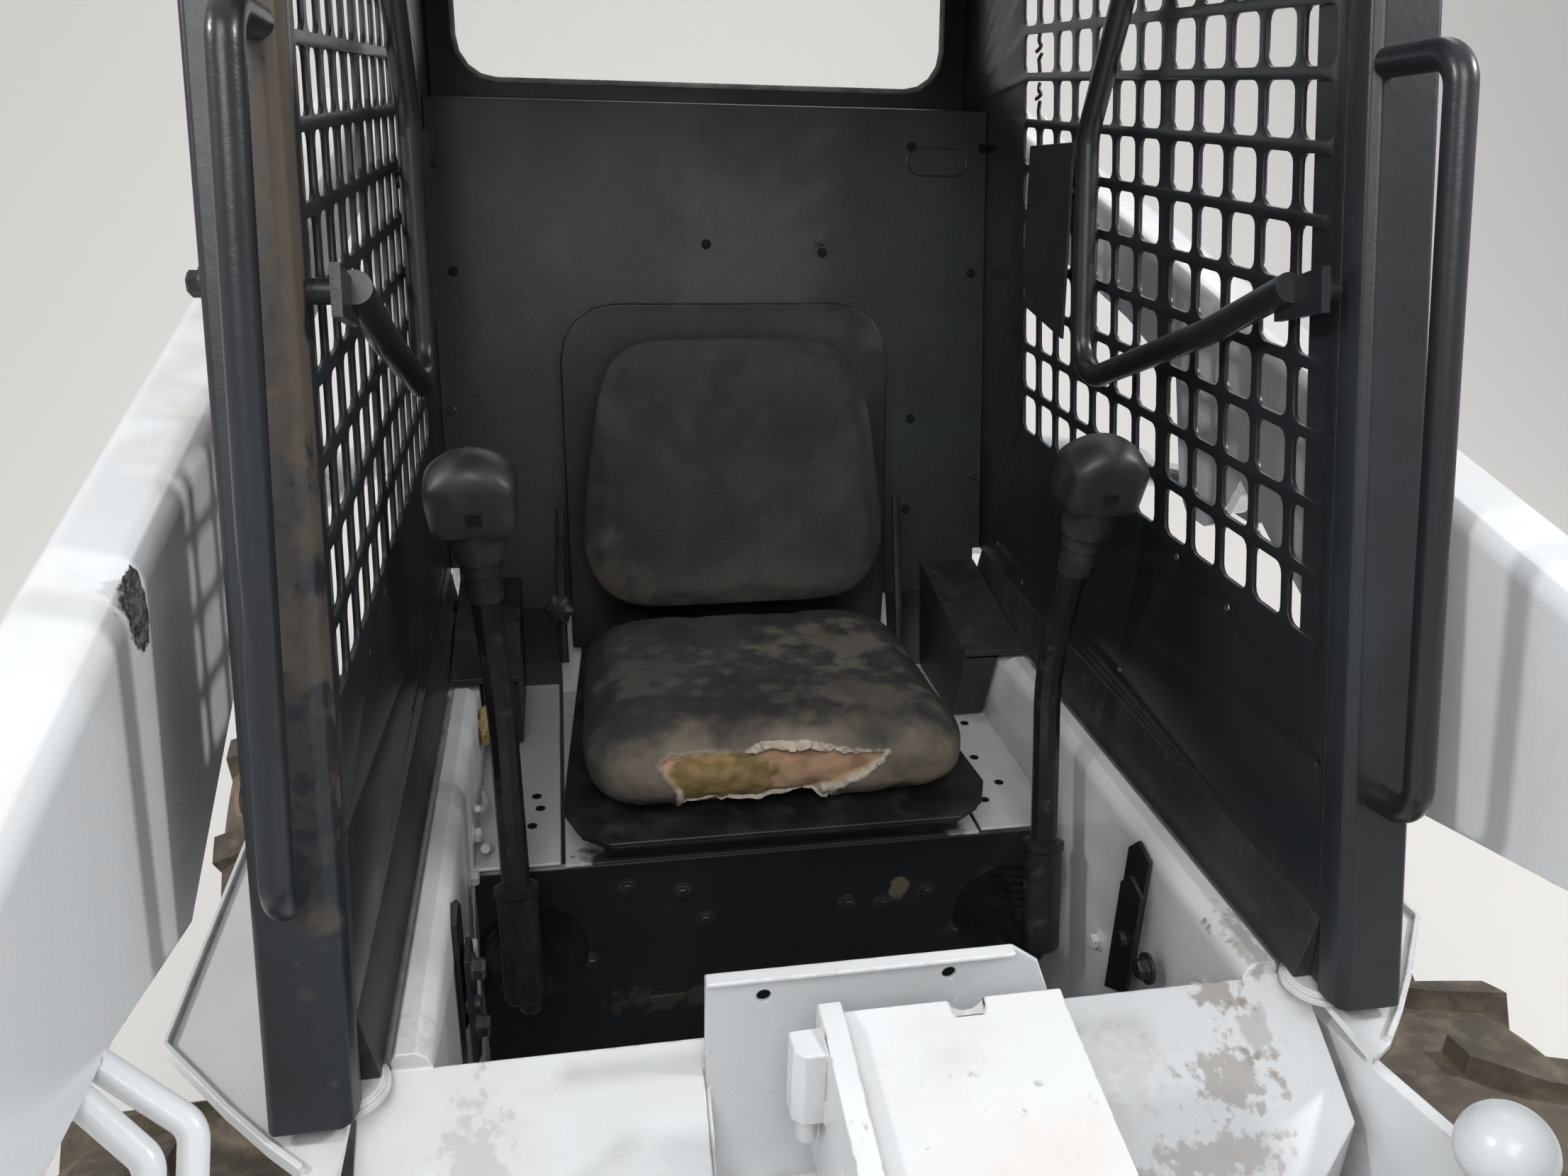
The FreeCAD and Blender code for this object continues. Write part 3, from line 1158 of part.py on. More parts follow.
def make_carrier():
    body = new_body("tool_carrier")
    pad(body, "YZ_Plane", "-carrier_half", "2 * carrier_half", [
        ("bucket_back", "carrier_z - 60"),
        ("bucket_back + 14", "carrier_z - 60"),
        ("bucket_back + 14", "carrier_z + 250"),
        ("bucket_back + 30", "carrier_z + 270"),
        ("bucket_back", "carrier_z + 270")])
    pocket(body, "XZ_Plane", "-bucket_back", "120", [
        ("-tilt_half + 90", "carrier_z"), ("tilt_half - 90", "carrier_z"),
        ("tilt_half - 130", "carrier_z + 200"), ("-tilt_half + 130", "carrier_z + 200")])
    for side in (1, -1):
        pad(body, "YZ_Plane", side_start(side, "arm_inner - 35", "28"), "28", [
            ("bucket_back + 5", "carrier_z - 50"),
            ("carrier_y + 45", "carrier_z - 45"),
            ("carrier_y + 55", "carrier_z + 40"),
            ("bucket_back + 5", "carrier_z + 130")])
        pad(body, "YZ_Plane", side_start(side, "arm_inner - 30", "arm_width + 45"),
            "arm_width + 45", circles=[("carrier_y", "carrier_z", "pin_radius")])
        for lug in ("tilt_half - 42", "tilt_half + 30"):
            pad(body, "YZ_Plane", side_start(side, lug, "12"), "12", [
                ("bucket_back + 5", "tilt_eye_z - 60"),
                ("tilt_eye_y + 20", "tilt_eye_z - 40"),
                ("tilt_eye_y + 45", "tilt_eye_z + 20"),
                ("tilt_eye_y + 10", "tilt_eye_z + 45"),
                ("bucket_back + 5", "tilt_eye_z + 65")])


def make_bucket():
    body = new_body("bucket")
    skin = "bucket_skin"
    pad(body, "YZ_Plane", "-bucket_half", "2 * bucket_half", [
        ("bucket_front + 40", "bucket_low"),
        ("bucket_back - 90", "bucket_low"),
        ("bucket_back - 26", "bucket_low + 26"),
        ("bucket_back", "bucket_low + 90"),
        ("bucket_back", "bucket_high - 60"),
        ("bucket_back - 40", "bucket_high"),
        ("bucket_front + 400", "bucket_low + 350"),
        ("bucket_front + 120", "bucket_low + 110")])
    pocket(body, "YZ_Plane", "0", f"2 * bucket_half - 2 * {skin} - 8", [
        ("bucket_front - 50", f"bucket_low + {skin}"),
        ("bucket_back - 94", f"bucket_low + {skin}"),
        (f"bucket_back - 26 - {skin}", f"bucket_low + 26 + {skin}"),
        (f"bucket_back - {skin}", "bucket_low + 94"),
        (f"bucket_back - {skin}", "bucket_high - 64"),
        (f"bucket_back - 44 - {skin}", "bucket_high + 60"),
        ("bucket_front - 50", "bucket_high + 60")])
    pad(body, "YZ_Plane", "-bucket_half", "2 * bucket_half", [
        ("bucket_front", "bucket_low"),
        ("bucket_front + 150", "bucket_low"),
        ("bucket_front + 150", "bucket_low + edge_thick"),
        ("bucket_front + 26", "bucket_low + edge_thick")])
    for side in (1, -1):
        pad(body, "YZ_Plane", side_start(side, f"bucket_half - {skin} - 10", "10"), "10", [
            ("bucket_front + 60", "bucket_low + 4"),
            ("bucket_front + 180", "bucket_low + 4"),
            ("bucket_front + 460", "bucket_low + 352"),
            ("bucket_front + 390", "bucket_low + 352")])


def make_cab_mounts():
    """Round pads that the posts' feet rest on."""
    discs = []
    for name, side in SIDES:
        here = point(f"{side} * (cab_half + 16)", "post_foot + 22", "frame_top")
        high = number("cab_bottom - frame_top - rest_gap")
        disc = Part.makeCylinder(number("foot_pad"), high * 0.6, here)
        disc = disc.fuse(Part.makeCylinder(number("foot_pad") - 5, high, here))
        discs.append(disc)
    add_shape("cab_mounts", Part.makeCompound(discs))


def make_lamps():
    """Round work lamps under the roof's front corners, each on a bent bracket."""
    lamps = []
    for name, side in SIDES:
        here = point(f"{side} * lamp_half", f"{post_line('cab_top')} - post_nose - 62",
                     "cab_top - roof_thick - lamp_radius - 14")
        front = FreeCAD.Vector(0, -1, 0)
        shell = Part.makeCone(number("lamp_radius") * 0.62, number("lamp_radius"), 46, here, front)
        ring = Part.makeCylinder(
            number("lamp_radius") + 4, 12, here.add(FreeCAD.Vector(0, -46, 0)), front)
        dish = Part.makeCylinder(
            number("lamp_radius") - 4, 9, here.add(FreeCAD.Vector(0, -49, 0)), front)
        neck = Part.makeBox(24, 64, 6, here.add(
            FreeCAD.Vector(-12, -6, number("lamp_radius") + 8)))
        stem = Part.makeBox(24, 6, number("lamp_radius") + 10, here.add(
            FreeCAD.Vector(-12, -6, 0)))
        lamps.append(shell.fuse([ring, neck, stem]).cut(dish).removeSplitter())
    add_shape("work_lamps", Part.makeCompound(lamps))


def make_arm_stops():
    """Balls on flat seats, on the cheeks of the nose beside the arms."""
    stops = []
    seat = number("frame_top + 2")
    for name, side in SIDES:
        x = side * number("cheek_inner")
        y = number("cheek_front - 4")
        ball = Part.makeSphere(number("stop_ball"),
                               FreeCAD.Vector(x, y, seat + number("stop_rise")))
        below = Part.makeBox(100, 100, 60, FreeCAD.Vector(x - 50, y - 50, seat - 60))
        stops.append(ball.cut(below))
    add_shape("arm_stops", Part.makeCompound(stops))


def make_exhaust():
    """A short stack on the hood, bent to the rear, on a round collar."""
    foot = point("exhaust_x", "exhaust_y", "hood_level - 19")
    collar = Part.makeCylinder(number("exhaust_radius") + 14, 16, foot)
    places = [foot, foot.add(FreeCAD.Vector(0, 0, 120)), foot.add(FreeCAD.Vector(0, 70, 190))]
    tube = bent_tube(places, number("exhaust_radius"), 60)
    bore = bent_tube([places[0].add(FreeCAD.Vector(0, 0, 20)), places[1],
                      places[2].add(FreeCAD.Vector(0, 20, 20))],
                     number("exhaust_radius") - 3, 60)
    hood = doc.getObject("engine_hood").Shape
    add_shape("exhaust_pipe", collar.fuse(tube).cut(bore).cut(hood))


def make_arm_lines():
    """Two hydraulic tubes from a block under the right arm down to the cross tube."""
    tubes = []
    top = number("arm_belly + 50")
    for step in (0, 1):
        x = f"-(arm_inner - 53 + 20 * {step})"
        y = f"(line_y - 25 * {step})"
        places = [
            point("-(arm_inner + 30)", f"{y} + 30", top),
            point(x, y, "line_z"),
            point(x, f"{y} - 130", "line_z - 170"),
            point(x, "cross_y + 40", "cross_z")]
        tubes.append(bent_tube(places, number("line_radius"), 20))
    block = Part.makeBox(34, 62, 24, point("-(arm_inner + 47)", "line_y - 14", "arm_belly + 22"))
    lines = block.fuse(tubes)
    for label in ("lift_arm_right", "arm_crossmember"):
        lines = lines.cut(doc.getObject(label).Shape)
    add_shape("arm_lines", lines)


def hydraulic(name, x_places, base, eye, bore, rod, retract):
    """Barrels and rods of a pair of cylinders, from the base pin to the rod's eye."""
    width = number("eye_width")
    start = point(0, *base)
    end = point(0, *eye)
    line = end.sub(start).normalize()
    length = end.sub(start).Length
    barrels = []
    rods = []
    for x in x_places:
        shift = FreeCAD.Vector(x, 0, 0)
        low = start.add(shift)
        high = end.add(shift)
        gland = low.add(FreeCAD.Vector(line).multiply(length * number("gland_share")))
        inside = low.add(FreeCAD.Vector(line).multiply(70))
        tube = rod_between(low.add(FreeCAD.Vector(line).multiply(45)), gland, bore)
        tube = tube.cut(rod_between(inside, gland, rod + 0.06))
        end_eye = rod_between(low.sub(FreeCAD.Vector(width / 2, 0, 0)),
                              low.add(FreeCAD.Vector(width / 2, 0, 0)), bore + 6)
        bar = rod_between(low, low.add(FreeCAD.Vector(line).multiply(60)), bore * 0.8)
        barrel = tube.fuse(end_eye).fuse(bar)
        pin = number("pin_radius") - 2 + number("pin_clearance")
        barrel = barrel.cut(rod_between(low.sub(FreeCAD.Vector(width, 0, 0)),
                                        low.add(FreeCAD.Vector(width, 0, 0)), pin))
        barrels.append(barrel)
        tail = inside.add(FreeCAD.Vector(line).multiply(2 + retract))
        stick = rod_between(tail, high, rod)
        rod_eye = rod_between(high.sub(FreeCAD.Vector(width / 2, 0, 0)),
                              high.add(FreeCAD.Vector(width / 2, 0, 0)), bore)
        stick = stick.fuse(rod_eye)
        stick = stick.cut(rod_between(high.sub(FreeCAD.Vector(width, 0, 0)),
                                      high.add(FreeCAD.Vector(width, 0, 0)), pin))
        rods.append(stick)
    add_shape(f"{name}_barrels", Part.makeCompound(barrels))
    add_shape(f"{name}_rods", Part.makeCompound(rods))


def build_all():
    make_frame()
    make_fenders()
    make_cab_mounts()
    make_towers()
    tyre = tyre_shape()
    for name, side in SIDES:
        make_post(name, side)
        make_side_screen(name, side)
        make_guard_bar(name, side)
        make_handle(name, side)
        make_lever(name, side)
        for label, centre in AXLES:
            make_wheel(name, side, label, centre, tyre)
        make_arm(name, side)
    make_axles()
    make_sills()
    make_shields()
    make_cab_hinge()
    make_cab_back()
    make_window()
    make_roof()
    make_lamps()
    make_platform()
    make_boots()
    make_seat()
    make_side_boxes()
    make_pedals()
    make_front_guard()
    make_arm_stops()
    make_engine()
    make_hood()
    make_exhaust()
    make_bulkhead()
    make_rear_door()
    make_bumper()
    make_cross_tube()
    make_arm_lines()
    make_carrier()
    make_bucket()
    lift_x = number("arm_inner + arm_width / 2")
    hydraulic("lift_cylinder", (lift_x, -lift_x), ("lift_base_y", "lift_base_z"),
              ("lift_eye_y", "lift_eye_z"), number("lift_bore"), number("lift_rod"), 0)
    tilt_x = number("tilt_half")
    hydraulic("tilt_cylinder", (tilt_x, -tilt_x), ("tilt_base_y", "tilt_base_z"),
              ("tilt_eye_y", "tilt_eye_z"), number("tilt_bore"), number("tilt_rod"),
              number("tilt_start"))


def check_and_export():
    doc.recompute()
    for item in doc.Objects:
        if "Invalid" in item.State or "Error" in item.State:
            raise RuntimeError(f"{item.Label} failed: {item.State}")
    os.makedirs("parts", exist_ok=True)
    for item in parts:
        shape = item.Shape
        if shape.isNull() or not shape.isValid() or shape.Volume <= 0:
            raise RuntimeError(f"{item.Label} has no valid solid")
    for item in parts:
        shape = item.Shape
        shape.exportStep(os.path.join("parts", item.Label + ".step"))
        print(item.Label, len(shape.Solids), round(shape.Volume / 1e6, 2))


build_all()
check_and_export()
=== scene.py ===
"""Skid steer loader: the finish of every surface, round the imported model."""

import json
import math

import bmesh
import bpy
from mathutils import Matrix, Vector, noise
from mathutils.kdtree import KDTree


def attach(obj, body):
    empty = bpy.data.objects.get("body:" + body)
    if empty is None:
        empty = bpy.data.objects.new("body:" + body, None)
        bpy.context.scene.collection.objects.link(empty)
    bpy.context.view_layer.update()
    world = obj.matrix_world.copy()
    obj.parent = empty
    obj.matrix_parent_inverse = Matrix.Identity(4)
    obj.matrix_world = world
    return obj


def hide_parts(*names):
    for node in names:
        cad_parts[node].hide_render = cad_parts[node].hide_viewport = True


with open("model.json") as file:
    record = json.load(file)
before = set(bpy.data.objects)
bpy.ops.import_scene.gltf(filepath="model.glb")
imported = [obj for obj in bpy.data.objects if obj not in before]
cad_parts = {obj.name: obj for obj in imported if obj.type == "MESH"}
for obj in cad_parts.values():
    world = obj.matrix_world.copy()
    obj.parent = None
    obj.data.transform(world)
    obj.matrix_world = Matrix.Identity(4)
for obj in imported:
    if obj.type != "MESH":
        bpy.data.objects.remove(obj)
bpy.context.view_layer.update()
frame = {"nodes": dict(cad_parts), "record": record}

# Stage: a plain pale floor that curves up into a wall. The camera stands before the cab
# entry, a head above the seat, and looks down into it.
FLOOR_HALF = 30.0
FLOOR_DROP = 0.001
WALL_Y = 5.0
WALL_TOP = 8.0
BEND_RADIUS = 2.0
BEND_STEPS = 12
STAGE_COLOUR = (0.74, 0.715, 0.69)
ROOM_COLOUR = (0.94, 0.97, 1.0)
ROOM_STRENGTH = 0.56
SENSOR_WIDTH_MM = 36
LENS_MM = 27.205
CAMERA_PLACE = Vector((-0.240, -0.906, 1.562))
CAMERA_YAW, CAMERA_PITCH, CAMERA_ROLL = (math.radians(a) for a in (10.78, 22.77, 1.68))


def placed(name, data):
    """A new object of this data, in the scene."""
    item = bpy.data.objects.new(name, data)
    bpy.context.collection.objects.link(item)
    return item


stage_paint = bpy.data.materials.new("studio_pale")
stage_paint.use_nodes = True
stage_shader = stage_paint.node_tree.nodes["Principled BSDF"]
stage_shader.inputs["Roughness"].default_value = 0.9
stage_shader.inputs["Base Color"].default_value = (*STAGE_COLOUR, 1)
section = [(-FLOOR_HALF, 0.0)]
for step in range(BEND_STEPS + 1):
    turn = step / BEND_STEPS * math.pi / 2
    section.append((WALL_Y - BEND_RADIUS + BEND_RADIUS * math.sin(turn),
                    BEND_RADIUS - BEND_RADIUS * math.cos(turn)))
section.append((WALL_Y, WALL_TOP))
floor_mesh = bpy.data.meshes.new("studio_floor")
floor_mesh.from_pydata(
    [(side * FLOOR_HALF, y, z - FLOOR_DROP) for y, z in section for side in (-1, 1)], [],
    [(2 * i, 2 * i + 1, 2 * i + 3, 2 * i + 2) for i in range(len(section) - 1)])
floor_mesh.shade_smooth()
floor_mesh.materials.append(stage_paint)
placed("studio_floor", floor_mesh)

camera_data = bpy.data.cameras.new("eye")
camera_data.sensor_width = SENSOR_WIDTH_MM
camera_data.lens = LENS_MM
camera_data.clip_start = 0.01
camera = placed("eye", camera_data)
camera.matrix_world = (
    Matrix.Translation(CAMERA_PLACE)
    @ Matrix.Rotation(-CAMERA_YAW, 4, "Z")
    @ Matrix.Rotation(math.pi / 2 - CAMERA_PITCH, 4, "X")
    @ Matrix.Rotation(CAMERA_ROLL, 4, "Z"))
bpy.context.scene.camera = camera

LAMP_COLUMNS = ("name", "place", "aim", "size", "watts")
LAMPS = [
    ("ceiling_front", (-0.9, -3.0, 4.0), (0, 0.2, 0.8), 2.2, 76),
    ("ceiling_rear", (1.2, 3.4, 4.5), (0, 0.5, 0.8), 3.0, 60),
    ("side_left", (3.4, -0.5, 3.7), (0, 0.5, 0.9), 0.35, 84),
    ("side_right", (-3.6, -0.2, 3.6), (0, 0.5, 1.0), 0.40, 66)]
for lamp_row in LAMPS:
    row = dict(zip(LAMP_COLUMNS, lamp_row))
    lamp_data = bpy.data.lights.new(row["name"], "AREA")
    lamp_data.size = row["size"]
    lamp_data.energy = row["watts"]
    lamp = placed(row["name"], lamp_data)
    lamp.location = row["place"]
    aim = Vector(row["aim"]) - Vector(row["place"])
    lamp.rotation_euler = aim.to_track_quat("-Z", "Y").to_euler()
room = bpy.data.worlds.new("room")
bpy.context.scene.world = room
room.use_nodes = True
room.node_tree.nodes["Background"].inputs["Color"].default_value = (*ROOM_COLOUR, 1)
room.node_tree.nodes["Background"].inputs["Strength"].default_value = ROOM_STRENGTH
bpy.context.scene.view_settings.view_transform = "Standard"


# The welded frame, its fenders and towers: steel plate sprayed white over old paint, with
# painted shade and dirt where plates meet, and mud trodden by boots on the sloping front panel.
BODY_OF = {node: body for body, members in frame["record"]["behaviour"]["bodies"].items()
           for node in members}
FLOAT = "NodeSocketFloat"
VECTOR = "NodeSocketVector"
SHARP_ANGLE = math.radians(32)
WELD_REACH = 1e-5


def put(tree, kind, values=None, **settings):
    """Adds a node; each value is a number, a colour or the socket that feeds the input."""
    node = tree.nodes.new(kind)
    for name, value in settings.items():
        setattr(node, name, value)
    for key, value in (values or {}).items():
        if isinstance(value, bpy.types.NodeSocket):
            tree.links.new(value, node.inputs[key])
        else:
            node.inputs[key].default_value = value
    return node


def maths(tree, operation, first, second=0.0):
    return put(tree, "ShaderNodeMath", {0: first, 1: second}, operation=operation).outputs[0]


def remap(tree, value, low, high, to_low=0.0, to_high=1.0):
    """Value from low to high as a share from to_low to to_high, with soft ends."""
    return put(tree, "ShaderNodeMapRange", {
        "Value": value, "From Min": low, "From Max": high, "To Min": to_low,
        "To Max": to_high}, interpolation_type="SMOOTHSTEP").outputs[0]


def effect(name, inputs, output="Mask"):
    """A shader group with named inputs, and its input and output sockets."""
    group = bpy.data.node_groups.new(name, "ShaderNodeTree")
    for label, kind, value in inputs:
        socket = group.interface.new_socket(label, in_out="INPUT", socket_type=kind)
        socket.default_value = value
    group.interface.new_socket(output, in_out="OUTPUT", socket_type=FLOAT)
    given = group.nodes.new("NodeGroupInput").outputs
    result = group.nodes.new("NodeGroupOutput").inputs[output]
    return group, given, result


def cloud(group, scale, detail=6.0, stretch=(1, 1, 1)):
    """Noise that stays on the piece, pulled out by stretch."""
    place = put(group, "ShaderNodeTexCoord").outputs["Object"]
    pulled = put(group, "ShaderNodeVectorMath", {0: place, 1: stretch}, operation="MULTIPLY")
    return put(group, "ShaderNodeTexNoise", {
        "Vector": pulled.outputs[0], "Scale": scale, "Detail": detail,
        "Roughness": 0.56}).outputs[0]


def make_patches():
    group, given, result = effect("patches", [
        ("Scale", FLOAT, 5.0), ("Low", FLOAT, 0.45), ("High", FLOAT, 0.65),
        ("Stretch", VECTOR, (1, 1, 1)), ("Blur", FLOAT, 0.06)])
    spread = cloud(group, given["Scale"], 6.0, given["Stretch"])
    low = maths(group, "SUBTRACT", given["Low"], given["Blur"])
    high = maths(group, "ADD", given["High"], given["Blur"])
    group.links.new(remap(group, spread, low, high), result)


def make_dust_on_top():
    group, given, result = effect("dust_on_top", [
        ("Scale", FLOAT, 9.0), ("Low", FLOAT, 0.35), ("High", FLOAT, 0.7)])
    facing = put(group, "ShaderNodeTexCoord").outputs["Normal"]
    up = put(group, "ShaderNodeSeparateXYZ", {0: facing}).outputs[2]
    spread = remap(group, cloud(group, given["Scale"]), given["Low"], given["High"])
    group.links.new(maths(group, "MULTIPLY", remap(group, up, 0.35, 0.95), spread), result)


# A mask that follows ambient occlusion. Dark colours laid with it are painted shade in corners and
# where parts meet, with some dirt; light colours laid with it are dust and mud settled there.
def make_corner_shade_and_dirt():
    group, given, result = effect("corner_shade_and_dirt", [
        ("Reach", FLOAT, 0.04), ("Scale", FLOAT, 25.0)])
    open_share = put(group, "ShaderNodeAmbientOcclusion", {
        "Distance": given["Reach"]}, samples=4).outputs["AO"]
    closed = remap(group, open_share, 0.85, 0.35)
    ragged = remap(group, cloud(group, given["Scale"]), 0.3, 0.7, 0.25, 1.0)
    group.links.new(maths(group, "MULTIPLY", closed, ragged), result)


def make_worn_edges():
    group, given, result = effect("worn_edges", [
        ("Width", FLOAT, 0.003), ("Scale", FLOAT, 40.0)])
    rounded = put(group, "ShaderNodeBevel", {"Radius": given["Width"]}, samples=4)
    true_face = put(group, "ShaderNodeNewGeometry").outputs["True Normal"]
    match = put(group, "ShaderNodeVectorMath", {
        0: rounded.outputs[0], 1: true_face}, operation="DOT_PRODUCT").outputs["Value"]
    edge = remap(group, match, 0.985, 0.80)
    chipped = remap(group, cloud(group, given["Scale"]), 0.48, 0.6)
    group.links.new(maths(group, "MULTIPLY", edge, chipped), result)


def make_spot():
    group, given, result = effect("spot", [
        ("Centre", VECTOR, (0, 0, 0)), ("Size", VECTOR, (0.1, 0.1, 0.1)),
        ("Rag", FLOAT, 0.8), ("Scale", FLOAT, 30.0), ("Soft", FLOAT, 0.3)])
    place = put(group, "ShaderNodeTexCoord").outputs["Object"]
    off = put(group, "ShaderNodeVectorMath", {0: place, 1: given["Centre"]},
              operation="SUBTRACT").outputs[0]
    share = put(group, "ShaderNodeVectorMath", {0: off, 1: given["Size"]}, operation="DIVIDE")
    far = put(group, "ShaderNodeVectorMath", {0: share.outputs[0]}, operation="LENGTH")
    ragged = maths(group, "SUBTRACT", cloud(group, given["Scale"]), 0.5)
    reach = maths(group, "ADD", far.outputs["Value"], maths(
        group, "MULTIPLY", ragged, maths(group, "MULTIPLY", given["Rag"], 4.0)))
    near = maths(group, "SUBTRACT", 1.0, given["Soft"])
    group.links.new(remap(group, reach, 1.0, near), result)


def make_grain():
    group, given, result = effect("grain", [("Scale", FLOAT, 300.0)], "Height")
    group.links.new(cloud(group, given["Scale"], 2.0), result)


for make_effect in (make_patches, make_dust_on_top, make_corner_shade_and_dirt, make_worn_edges,
                    make_spot, make_grain):
    make_effect()


def laid(tree, name, values):
    """One effect's output in a material: a group by name, or a painted attribute."""
    if name == "painted":
        return put(tree, "ShaderNodeAttribute", attribute_name=values).outputs["Fac"]
    node = put(tree, "ShaderNodeGroup", node_tree=bpy.data.node_groups[name])
    for label, value in values.items():
        node.inputs[label].default_value = value
    return node.outputs[0]


def feed(tree, value, socket):
    if isinstance(value, bpy.types.NodeSocket):
        tree.links.new(value, socket)
    else:
        socket.default_value = value


def coat(name, colour, rough, layers=(), bumps=(), **constants):
    """A material: its base, each layer (effect, values, share, colour, roughness) over it
    where the effect's mask says, and bumps (effect, values, metres)."""
    material = bpy.data.materials.new(name)
    material.use_nodes = True
    tree = material.node_tree
    shader = tree.nodes["Principled BSDF"]
    shade = (*colour, 1)
    gloss = rough
    for kind, values, share, tint, dull in layers:
        mask = maths(tree, "MULTIPLY", laid(tree, kind, values), share)
        shade = put(tree, "ShaderNodeMix", {0: mask, 6: shade, 7: (*tint, 1)},
                    data_type="RGBA").outputs[2]
        gloss = put(tree, "ShaderNodeMix", {0: mask, 2: gloss, 3: dull}).outputs[0]
    feed(tree, shade, shader.inputs["Base Color"])
    feed(tree, gloss, shader.inputs["Roughness"])
    normal = None
    for kind, values, depth in bumps:
        bump = put(tree, "ShaderNodeBump", {
            "Height": laid(tree, kind, values), "Distance": depth, "Strength": 1.0})
        if normal:
            tree.links.new(normal, bump.inputs["Normal"])
        normal = bump.outputs[0]
    if normal:
        tree.links.new(normal, shader.inputs["Normal"])
    for label, value in constants.items():
        shader.inputs[label.replace("_", " ")].default_value = value
    return material


def show(name, mesh, material, body):
    """A finished piece: its mesh in place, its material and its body."""
    piece = placed(name, mesh)
    mesh.materials.clear()
    mesh.materials.append(material)
    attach(piece, body)
    return piece


def finished(node, material, width):
    """The node's own shape, which stands for it, its sharp edges broken to this width."""
    mesh = frame["nodes"][node].data.copy()
    shape = bmesh.new()
    shape.from_mesh(mesh)
    bmesh.ops.remove_doubles(shape, verts=shape.verts, dist=WELD_REACH)
    bmesh.ops.dissolve_limit(shape, angle_limit=math.radians(1.0), verts=shape.verts,
                             edges=shape.edges)
    shape.to_mesh(mesh)
    shape.free()
    for label in ("custom_normal", "sharp_edge", "sharp_face"):
        if label in mesh.attributes:
            mesh.attributes.remove(mesh.attributes[label])
    mesh.shade_smooth()
    mesh.set_sharp_from_angle(angle=SHARP_ANGLE)
    piece = show(f"{node}_finish", mesh, material, BODY_OF[node])
    if width:
        edges = piece.modifiers.new("edges", "BEVEL")
        edges.width = width
        edges.segments = 2
        edges.limit_method = "ANGLE"
        edges.angle_limit = SHARP_ANGLE
        edges.use_clamp_overlap = False
        edges.harden_normals = True
    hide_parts(node)
    return piece


WHITE = (0.80, 0.815, 0.83)
OLD_WHITE = (0.66, 0.65, 0.61)
# Grey dirt; laid with the occlusion mask it is also painted shade in corners.
GREY_DIRT_AND_SHADE = (0.24, 0.21, 0.17)
BROWN_MUD = (0.22, 0.155, 0.10)
RUST = (0.16, 0.065, 0.03)
RUN_DOWN = (1, 1, 0.22)
PAINT_BUMPS = [("grain", {"Scale": 420.0}, 0.00012), ("grain", {"Scale": 60.0}, 0.0004)]


def white_paint(name, extra=(), dust=0.28, shade_dirt_share=0.6):
    return coat(name, WHITE, 0.27, [
        ("patches", {"Scale": 4.0, "Low": 0.48, "High": 0.72}, 0.35, OLD_WHITE, 0.42),
        ("patches", {"Scale": 7.0, "Low": 0.58, "High": 0.70, "Stretch": RUN_DOWN},
         0.18, GREY_DIRT_AND_SHADE, 0.5),
        ("dust_on_top", {"Scale": 9.0, "Low": 0.40, "High": 0.80}, dust, (0.60, 0.56, 0.50),
         0.6),
        # Painted shade, with some dirt, in corners and where parts meet.
        ("corner_shade_and_dirt", {"Reach": 0.03, "Scale": 35.0}, shade_dirt_share, GREY_DIRT_AND_SHADE, 0.8),
        ("worn_edges", {"Width": 0.0035, "Scale": 55.0}, 0.8, RUST, 0.7),
        *extra], PAINT_BUMPS, Coat_Weight=0.25, Coat_Roughness=0.12)


# Muddy places on the frame: centre, size, share of mud
MUDDY = [
    ((0.350, -0.100, 0.772), (0.026, 0.022, 0.05), 0.60),
    ((0.334, -0.165, 0.735), (0.050, 0.030, 0.05), 0.50),
    ((0.300, -0.215, 0.700), (0.070, 0.022, 0.05), 0.40),
    ((0.371, -0.134, 0.753), (0.022, 0.030, 0.05), 0.35),
    ((0.370, -0.030, 0.810), (0.018, 0.036, 0.03), 0.75),
    ((0.398, -0.060, 0.800), (0.016, 0.060, 0.03), 0.45),
    ((-0.315, -0.057, 0.800), (0.090, 0.030, 0.04), 0.20),
    ((-0.345, -0.160, 0.740), (0.030, 0.060, 0.06), 0.22),
    ((0.18, -0.150, 0.745), (0.110, 0.050, 0.05), 0.12)]
trodden_white = white_paint("trodden_white", [
    ("spot", {"Centre": centre, "Size": size, "Rag": 0.85, "Scale": 75.0, "Soft": 0.5},
     share, BROWN_MUD, 0.9) for centre, size, share in MUDDY])
frame_white = white_paint("frame_white")
# The inner bays and axle housings: more dust on top and more painted shade in their corners.
shaded_white = white_paint("bay_white", dust=0.6, shade_dirt_share=0.85)
